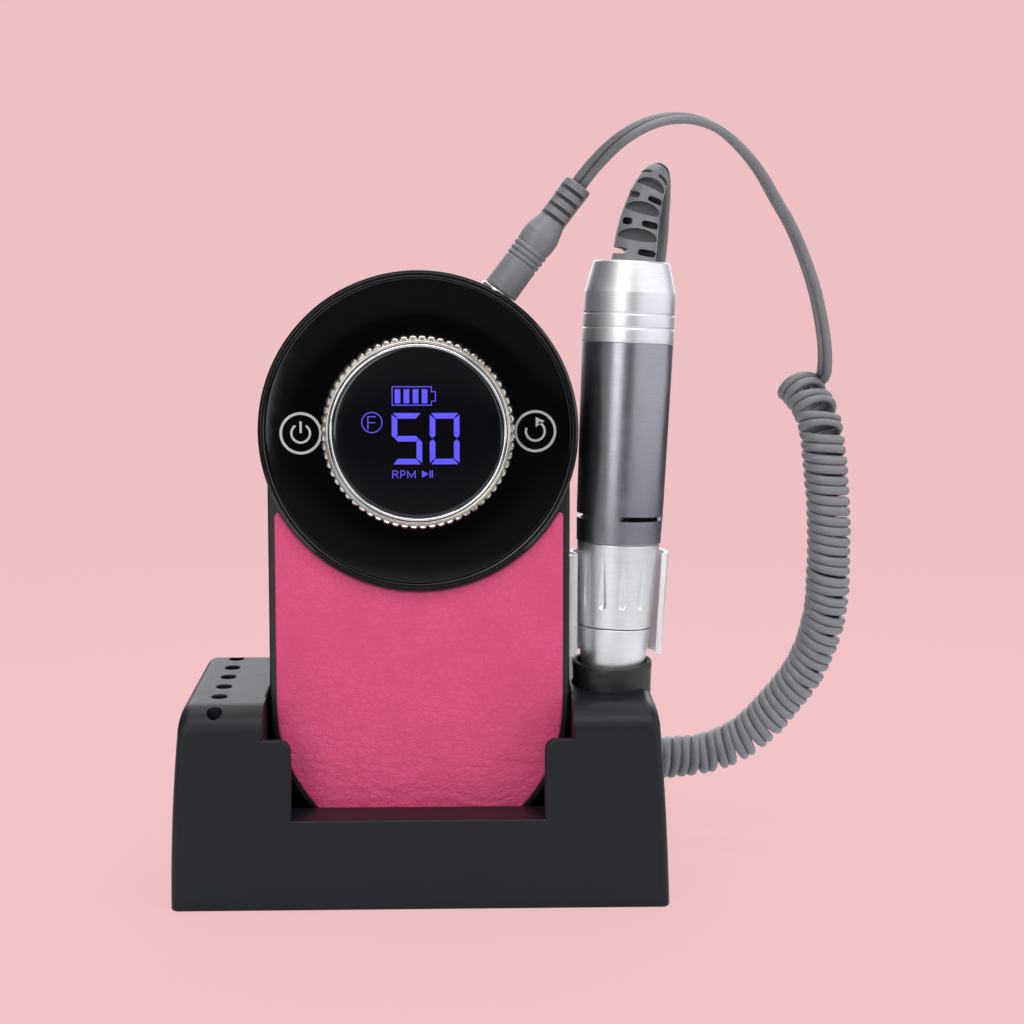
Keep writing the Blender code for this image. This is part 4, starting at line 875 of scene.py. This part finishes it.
UPPER_LEAD = (
    (43.8, -1.5, 199.9), (46.5, -3.6, 203.5), (52.0, -9.7, 209.2), (56.2, -12.9, 212.3), (60.9, -13.7, 214.8),
    (65.6, -13.0, 216.4), (72.0, -10.6, 217.1), (78.1, -8.0, 216.2), (84.1, -5.0, 213.6), (90.1, -1.8, 208.8),
    (95.2, 1.4, 203.5), (100.4, 4.8, 195.9), (105.2, 7.8, 189.1), (109.2, 10.6, 181.5), (113.1, 13.0, 172.4),
    (115.9, 14.9, 162.6), (117.4, 16.0, 154.8), (117.9, 17.5, 151.1), (118.3, 20.0, 147.9),
    (118.5, 23.0, 144.8),
)
COIL_PATH = (
    (110.7, 27.0, 143.4), (113.4, 23.6, 139.9), (116.1, 20.0, 134.4), (117.5, 18.4, 127.8),
    (119.0, 18.6, 115.7), (120.3, 20.0, 102.5), (120.8, 22.0, 87.9), (120.8, 24.4, 76.6), (119.4, 27.4, 66.4),
    (115.8, 31.0, 55.4), (110.6, 34.3, 46.7), (103.5, 37.4, 37.3), (96.0, 39.5, 31.0), (87.3, 41.0, 27.2),
    (79.0, 41.7, 25.9), (72.8, 41.9, 25.4), (66.5, 41.9, 25.8), (60.9, 41.9, 26.8),
)
LOWER_LEAD = (
    (61.5, 42.8, 33.9), (60.4, 43.3, 41.0), (58.4, 42.9, 55.0), (58.9, 38.6, 79.1), (60.8, 33.6, 101.3),
    (62.6, 28.0, 123.1), (64.6, 22.4, 144.3), (66.6, 17.6, 162.0), (68.2, 14.2, 176.4), (69.0, 12.2, 186.0),
    (69.3, 11.0, 195.0), (69.2, 8.4, 200.8), (68.2, 5.4, 203.0), (67.3, 3.4, 202.9), (66.3, 1.6, 202.2),
)
COIL_RADIUS, COIL_TURNS, COIL_START = 5.5, 27.0, math.radians(20.0)
COIL_FLAT, COIL_APART, COIL_SAMPLES = 1.14, 1.58, 30


def lead_directions(path, degrees):
    """Unit vectors square to the path, turned out of the X-Z plane by an angle given along it."""
    tangents = unit_rows(np.gradient(path, axis=0))
    inwards = unit_rows(np.cross(tangents, (0.0, 1.0, 0.0)))
    depth = np.cross(inwards, tangents)
    share = np.linspace(0.0, 1.0, len(path))
    angle = np.radians(np.interp(share, np.linspace(0.0, 1.0, len(degrees)), degrees))
    return np.cos(angle)[:, None] * inwards + np.sin(angle)[:, None] * depth


def coil_line():
    """The middle of the coiled pair: its points, and unit vectors outwards and along the coil."""
    path = smooth_path(COIL_PATH, 0.2)
    tangents, normals, others = carried_frames(path, (0.0, 1.0, 0.0))
    spots = np.linspace(0, len(path) - 1, round(COIL_TURNS * COIL_SAMPLES) + 1)
    index = spots.astype(int)
    share = spots / (len(path) - 1)
    angle = COIL_START - 2 * math.pi * COIL_TURNS * share
    ripple = 1.0 - 0.012 * (1 + np.sin(share * 61.0)) - 0.01 * (1 + np.sin(share * 23.0 + 1.0))
    out = np.cos(angle)[:, None] * normals[index] + np.sin(angle)[:, None] * others[index]
    return path[index] + out * (COIL_RADIUS * ripple)[:, None], out, tangents[index]


def make_leads():
    centre, _, along = coil_line()
    onward = (centre[1] - centre[0]) / np.linalg.norm(centre[1] - centre[0])
    path = eased(smooth_path(list(UPPER_LEAD) + [centre[0] - onward * 2.6, centre[0]], 0.9), 14)
    turns = lead_directions(path, (0.0, 30.0, 62.0, 88.0, 106.0, 112.0, 120.0, 130.0, 138.0))
    last = along[0] * math.copysign(1.0, along[0] @ turns[-1])
    share = np.clip((np.arange(len(path)) - len(path) + 16) / 15.0, 0.0, 1.0)[:, None]
    turns = unit_rows(turns * (1 - share) + last * share)
    lead = solid("lead_to_coil", *twin_strands(path, turns))
    lead.data.materials.append(CORD_GREY)
    lead.data.shade_smooth()
    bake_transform(lead)
    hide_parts("lead_upper")
    path = eased(smooth_path(LOWER_LEAD, 1.2), 10)
    lead = solid("lead_to_handpiece", *twin_strands(path,
                                                    lead_directions(path,
                                                                    (0.0, 20.0, 40.0, 60.0, 80.0, 80.0))))
    lead.data.materials.append(CORD_GREY)
    lead.data.shade_smooth()
    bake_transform(lead)
    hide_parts("lead_lower")


def make_coil():
    """Two strands side by side, each as wide as the turns leave room for."""
    centre, out, tangents = coil_line()
    pitch = np.linalg.norm(centre[COIL_SAMPLES:] - centre[:-COIL_SAMPLES], axis=1)
    pitch = np.concatenate([np.full(COIL_SAMPLES // 2, pitch[0]), pitch,
                            np.full(COIL_SAMPLES // 2, pitch[-1])])
    reach = np.minimum(COIL_APART, pitch * 0.246)
    ends = np.minimum(np.arange(len(centre)), np.arange(len(centre))[::-1]) / COIL_SAMPLES
    reach = STRAND_APART + (reach - STRAND_APART) * np.clip(ends * 2, 0.0, 1.0)
    parts = []
    for side in (1, -1):
        strand = centre + tangents * (reach * side)[:, None]
        onward = unit_rows(np.gradient(strand, axis=0))
        wide = np.cross(onward, out)
        rings = [[tuple(p + math.cos(a) * COIL_FLAT * o + math.sin(a) * (r - 0.01) * w)
                  for a in np.linspace(0.0, 2 * math.pi, 14, endpoint=False)]
                 for p, o, w, r in zip(strand, out, wide, reach)]
        parts.append(loft(rings))
    piece(solid("coiled_cord", *merged(*parts)), "control_unit", CORD_GREY, ["coil_cord"], 60.0)


# ---------------------------------------------------------------- handpiece

def handpiece_part(name, profile, material, node):
    return piece(turned(name, profile, TIP, HANDPIECE_TURN, 128), "handpiece", material, [node])


def make_sleeve_tube():
    tube_body = turned("grip_tube", [(11.2, 107.4), (12.85, 107.4, 0.12), (12.3, 60.0), (11.98, 51.2, 0.4),
                                     (11.85, 50.95, 0.1), (11.2, 50.95)],
                       TIP, HANDPIECE_TURN, 144)
    cutters = []
    for number in range(3):
        middle = math.radians(-90.0 + 31.5 + 120.0 * number)
        half = math.radians(36.5)
        fan = [(0.0, 0.0)] + [(20.0 * math.cos(middle + half * k / 6),
                               20.0 * math.sin(middle + half * k / 6)) for k in range(-6, 7)]
        verts, faces = loft([[(x, y, 58.3 + dz) for x, y in fan] for dz in (-0.68, 0.68)])
        cutters.append(solid("vent", placed(verts, TIP, HANDPIECE_TURN), faces))
    piece(cut(tube_body, *cutters), "handpiece", GUNMETAL, ["body_sleeve"])


def make_chuck_sleeve():
    """The sleeve's flutes are drops: pointed at the top and round at the foot."""
    count, steps = 12, 396
    outer = [(11.58, 50.75), (11.65, 50.72), (11.68, 50.64),
             (11.69, 50.55)] + [(11.69 - 1.2 * k / 60, 50.55 - 23.2 * k / 60) for k in range(1, 61)]
    outer += [(10.45, 27.15), (10.38, 27.0), (10.25, 26.95)]
    profile = outer + [(8.0, 26.95), (8.0, 50.75)]
    foot, top, deep = 34.0, 48.0, 0.42
    rings = []
    for k in range(steps):
        angle = 2 * math.pi * k / steps
        ring = []
        for radius, t in profile:
            r = radius
            if radius > 9.5 and foot - 2.0 < t < top:
                step = 2 * math.pi / count
                off = ((angle - math.radians(-90.0 + 5.0)) / step + 0.5) % 1.0 - 0.5
                across = abs(off * step * radius)
                if t > foot:
                    wide = 0.95 * (1 - (t - foot) / (top - foot)) ** 0.8 + 0.05
                else:
                    wide = math.sqrt(max(0.0, 1 - ((foot - t) / 1.5) ** 2))
                if across < wide:
                    hollow = math.sqrt(1 - (across / wide) ** 2)
                    r -= deep * hollow * min(1.0, wide / 1.0) ** 1.5
            ring.append((r * math.cos(angle), r * math.sin(angle), t))
        rings.append(ring)
    verts, faces = loft(rings, closed=True)
    sleeve = solid("fluted_sleeve", placed(verts, TIP, HANDPIECE_TURN), faces)
    piece(sleeve, "chuck_sleeve", SILVER, ["chuck_sleeve"], 40.0)


def make_handpiece():
    groove = 0.11
    cap = [(4.6, 126.0), (4.6, 130.1), (10.5, 130.1, 0.3), (10.85, 129.7, 0.4), (12.72, 122.0, 0.8),
           (12.85, 121.4, 0.6)]
    for high in (115.9, 112.0):
        cap += [(12.85, high, 0.15), (12.85 - groove, high - 0.25, 0.1), (12.85 - groove, high - 0.6, 0.1),
                (12.87, high - 0.85, 0.15)]
    cap += [(12.95, 107.45, 0.12), (10.0, 107.45), (10.0, 126.0)]
    handpiece_part("silver_cap", cap, SILVER, "end_cap")
    make_sleeve_tube()
    make_chuck_sleeve()
    nose = [
        (6.7, 26.65), (10.28, 26.65, 0.08), (10.36, 26.5, 0.08), (10.1, 22.8), (9.25, 17.0, 6.0),
        (8.2, 10.0, 6.0), (6.95, 3.0, 2.0), (6.5, 0.3, 0.4), (6.1, 0.0, 0.2), (3.0, 0.0, 0.2), (3.0, 2.0),
        (5.7, 3.0), (6.7, 5.0),
    ]
    handpiece_part("silver_nose", nose, SILVER, "nose_cone")


def make_boot():
    """The ribbed bend relief: wide notches front and back alternate with a slot to each side."""
    path = smooth_path([(58.3, -2.5, 176.2), (59.1, -2.5, 178.9), (59.9, -2.5, 185.0), (61.0, -2.5, 191.0),
                        (62.9, -2.2, 197.2),
                        (65.2, -0.4, 201.6), (67.2, 3.0, 203.2)], 0.5)
    share = np.linspace(0.0, 1.0, len(path))
    radii = np.interp(share, (0.0, 0.08, 0.28, 0.46, 0.68, 0.86, 0.95, 1.0),
                      (6.2, 6.2, 6.05, 5.5, 4.8, 4.0, 3.4, 2.4))
    tangents = unit_rows(np.gradient(path, axis=0))
    side = unit_rows(np.cross(tangents, (0.0, 1.0, 0.0)))
    depth = np.cross(side, tangents)
    boot = solid("bend_relief", *tube(path, radii, 48))
    cutters, beyond = [], 12.0

    def blade(index, low, high, tall, near, far, squash, rise=1.0):
        """A rounded cutter, from low to high along the side axis and from near to far in depth."""
        p, s, d, t = path[index], side[index], depth[index], tangents[index]
        middle, half = (low + high) / 2, (high - low) / 2
        outline = []
        for k in range(28):
            a = 2 * math.pi * k / 28
            u = middle + half * abs(math.cos(a)) ** squash * math.copysign(1, math.cos(a))
            v = tall * abs(math.sin(a)) ** squash * (rise if math.sin(a) > 0 else rise - 2.0)
            outline.append((u, v))
        rings = [[tuple(p + s * u + t * v + d * w) for u, v in outline] for w in (near, far)]
        cutters.append(solid("blade", *loft(rings)))

    for z, wide, tall in ((184.4, 0.92, 1.8), (191.8, 0.92, 1.75), (198.0, 0.90, 1.55), (202.3, 0.86, 0.9)):
        index = int(np.argmin(abs(path[:, 2] - z)))
        r = radii[index]
        for near, far in ((-beyond, -0.12 * r), (0.12 * r, beyond)):
            blade(index, -wide * r, wide * r, tall, near, far, 1.0, 1.4)
    for z, tall in ((180.7, 0.95), (188.5, 1.0), (195.5, 0.9), (200.8, 0.62)):
        index = int(np.argmin(abs(path[:, 2] - z)))
        r = radii[index]
        for low, high in ((-0.92 * r, -0.05 * r), (0.42 * r, (0.86 if 185.0 < z < 190.0 else 1.5) * r)):
            spans = ((-beyond, beyond),) if z < 185.0 and low > 0 else ((-beyond, 0.32 * r),
                                                                        (0.58 * r, beyond))
            for near, far in spans:
                blade(index, low, high, tall, near, far, 0.6)
    cut(boot, *cutters)
    piece(boot, "handpiece", CORD_GREY, ["strain_relief"], 40.0)


# ---------------------------------------------------------------- pieces kept as they are

KEPT = {
    "foot_": RUBBER, "base_plate": SATIN_BLACK, "base_screw_": STEEL, "housing_screw_": STEEL,
    "knob_bearing": NYLON,
    "encoder_ring": NYLON, "main_board": BOARD, "charge_board": BOARD, "push_switch": STEEL,
    "encoder_sensor": SATIN_BLACK,
    "battery_cell_": CELL_BLUE, "charging_socket": STEEL, "handpiece_jack": SATIN_BLACK,
    "display_carrier": SATIN_BLACK,
    "display_module": LENS_BLACK, "plug_pin": BRIGHT_CHROME, "motor_can": STEEL, "motor_shaft": STEEL,
    "spindle": STEEL,
    "collet": STEEL, "drive_coupling": BRASS, "front_bearing": STEEL, "rear_bearing": STEEL,
    "lock_cam": BRASS,
}


def finish_kept_nodes():
    for name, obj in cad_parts.items():
        if obj.hide_render:
            continue
        matches = [key for key in KEPT if name.startswith(key)]
        obj.data.materials.clear()
        obj.data.materials.append(KEPT[max(matches, key=len)])


# ---------------------------------------------------------------- stage

def area_light(name, place, target, size, power, colour=(1.0, 1.0, 1.0)):
    data = bpy.data.lights.new(name, "AREA")
    data.shape = "RECTANGLE"
    data.size, data.size_y = size
    data.energy = power
    data.color = colour
    light = linked(name, data)
    light.location = place
    light.rotation_euler = (Vector(target) - Vector(place)).to_track_quat("-Z", "Y").to_euler()
    light.visible_camera = False


def panel(name, azimuth, elevation, distance, size, radiance, colour=(1.0, 1.0, 1.0)):
    """A soft panel seen from the part's middle: azimuth from the camera's side, positive to the right."""
    a, e = math.radians(azimuth), math.radians(elevation)
    target = Vector((0.0, 0.0, 0.12))
    place = target + Vector((math.sin(a) * math.cos(e), -math.cos(a) * math.cos(e), math.sin(e))) * distance
    area_light(name, place, target, size, radiance * math.pi * size[0] * size[1], colour)


def camera_only(tree, seen, unseen):
    """A shader that is one thing to the camera, straight or through the clear clip, and another to the part."""
    mix = tree.nodes.new("ShaderNodeMixShader")
    path = tree.nodes.new("ShaderNodeLightPath")
    eye = tree.nodes.new("ShaderNodeMath")
    eye.operation = "MAXIMUM"
    tree.links.new(path.outputs["Is Camera Ray"], eye.inputs[0])
    tree.links.new(path.outputs["Is Transmission Ray"], eye.inputs[1])
    tree.links.new(eye.outputs[0], mix.inputs[0])
    tree.links.new(unseen, mix.inputs[1])
    tree.links.new(seen, mix.inputs[2])
    return mix.outputs[0]


def make_stage():
    pink = (0.855, 0.527, 0.539)
    reach, thick = 40000.0, 20.0
    floor = solid("floor", *lathe([(0.0, 0.0), (reach, 0.0), (reach, -thick), (0.0, -thick)], 64, False))
    paint = Finish("floor_paint", (0.13, 0.13, 0.132), 0.9, Specular_IOR_Level=0.1)
    glow = paint.node("Emission", {"Color": (*pink, 1.0)}).outputs[0]
    matt = paint.node("BsdfDiffuse", {"Color": (*(min(1.0, c * 1.05) for c in pink), 1.0)}).outputs[0]
    away = paint.node("VectorMath", links={0: paint.place}, operation="LENGTH").outputs["Value"]
    paint.into("Base Color", paint.blend(paint.ramp(away, 0.20, 0.55, 0.0, 1.0, True), (0.80, 0.80, 0.81),
                                         (0.08, 0.08, 0.08)))
    near = paint.node("MixShader", links={0: paint.ramp(away, 0.12, 0.9, 0.11, 0.0, True), 1: glow,
                                          2: matt}).outputs[0]
    paint.tree.links.new(camera_only(paint.tree, near, paint.shader.outputs[0]),
                         paint.tree.nodes["Material Output"].inputs[0])
    floor.data.materials.append(paint.material)
    world = bpy.data.worlds.new("studio")
    bpy.context.scene.world = world
    world.use_nodes = True
    tree = world.node_tree
    room = tree.nodes["Background"]
    room.inputs["Color"].default_value = (0.15, 0.15, 0.154, 1.0)
    sky = tree.nodes.new("ShaderNodeBackground")
    sky.inputs["Color"].default_value = (*pink, 1.0)
    tree.links.new(camera_only(tree, sky.outputs[0], room.outputs[0]), tree.nodes["World Output"].inputs[0])
    panel("key", -25.0, 15.0, 1.15, (0.48, 0.78), 3.5)
    panel("right", 68.0, 8.0, 0.85, (2.1, 1.1), 1.25, (0.95, 0.955, 1.0))
    panel("left", -58.0, 16.0, 1.1, (0.45, 0.9), 0.25)
    panel("front", 6.0, 59.0, 1.35, (1.4, 0.6), 4.5)
    panel("top", 180.0, 74.0, 1.2, (1.2, 0.8), 2.7)
    panel("back", 174.0, 24.0, 1.35, (1.7, 1.0), 2.3, (0.93, 0.94, 1.0))


def make_camera():
    camera = linked("camera", bpy.data.cameras.new("camera"))
    camera.location = (0.00877, -0.51268, 0.15615)
    camera.rotation_euler = (math.radians(90.0 - 5.46), 0.0, math.radians(-1.8))
    camera.data.sensor_width = 36.0
    camera.data.lens = 63.28
    camera.data.clip_start, camera.data.clip_end = 0.01, 50.0
    bpy.context.scene.camera = camera


make_dock()
make_collar()
make_housings()
make_head()
make_knob()
make_window()
make_graphics()
make_leather()
make_clip()
make_plug()
make_leads()
make_coil()
make_handpiece()
make_boot()
finish_kept_nodes()
make_stage()
make_camera()
bpy.context.scene.view_settings.view_transform = "Standard"
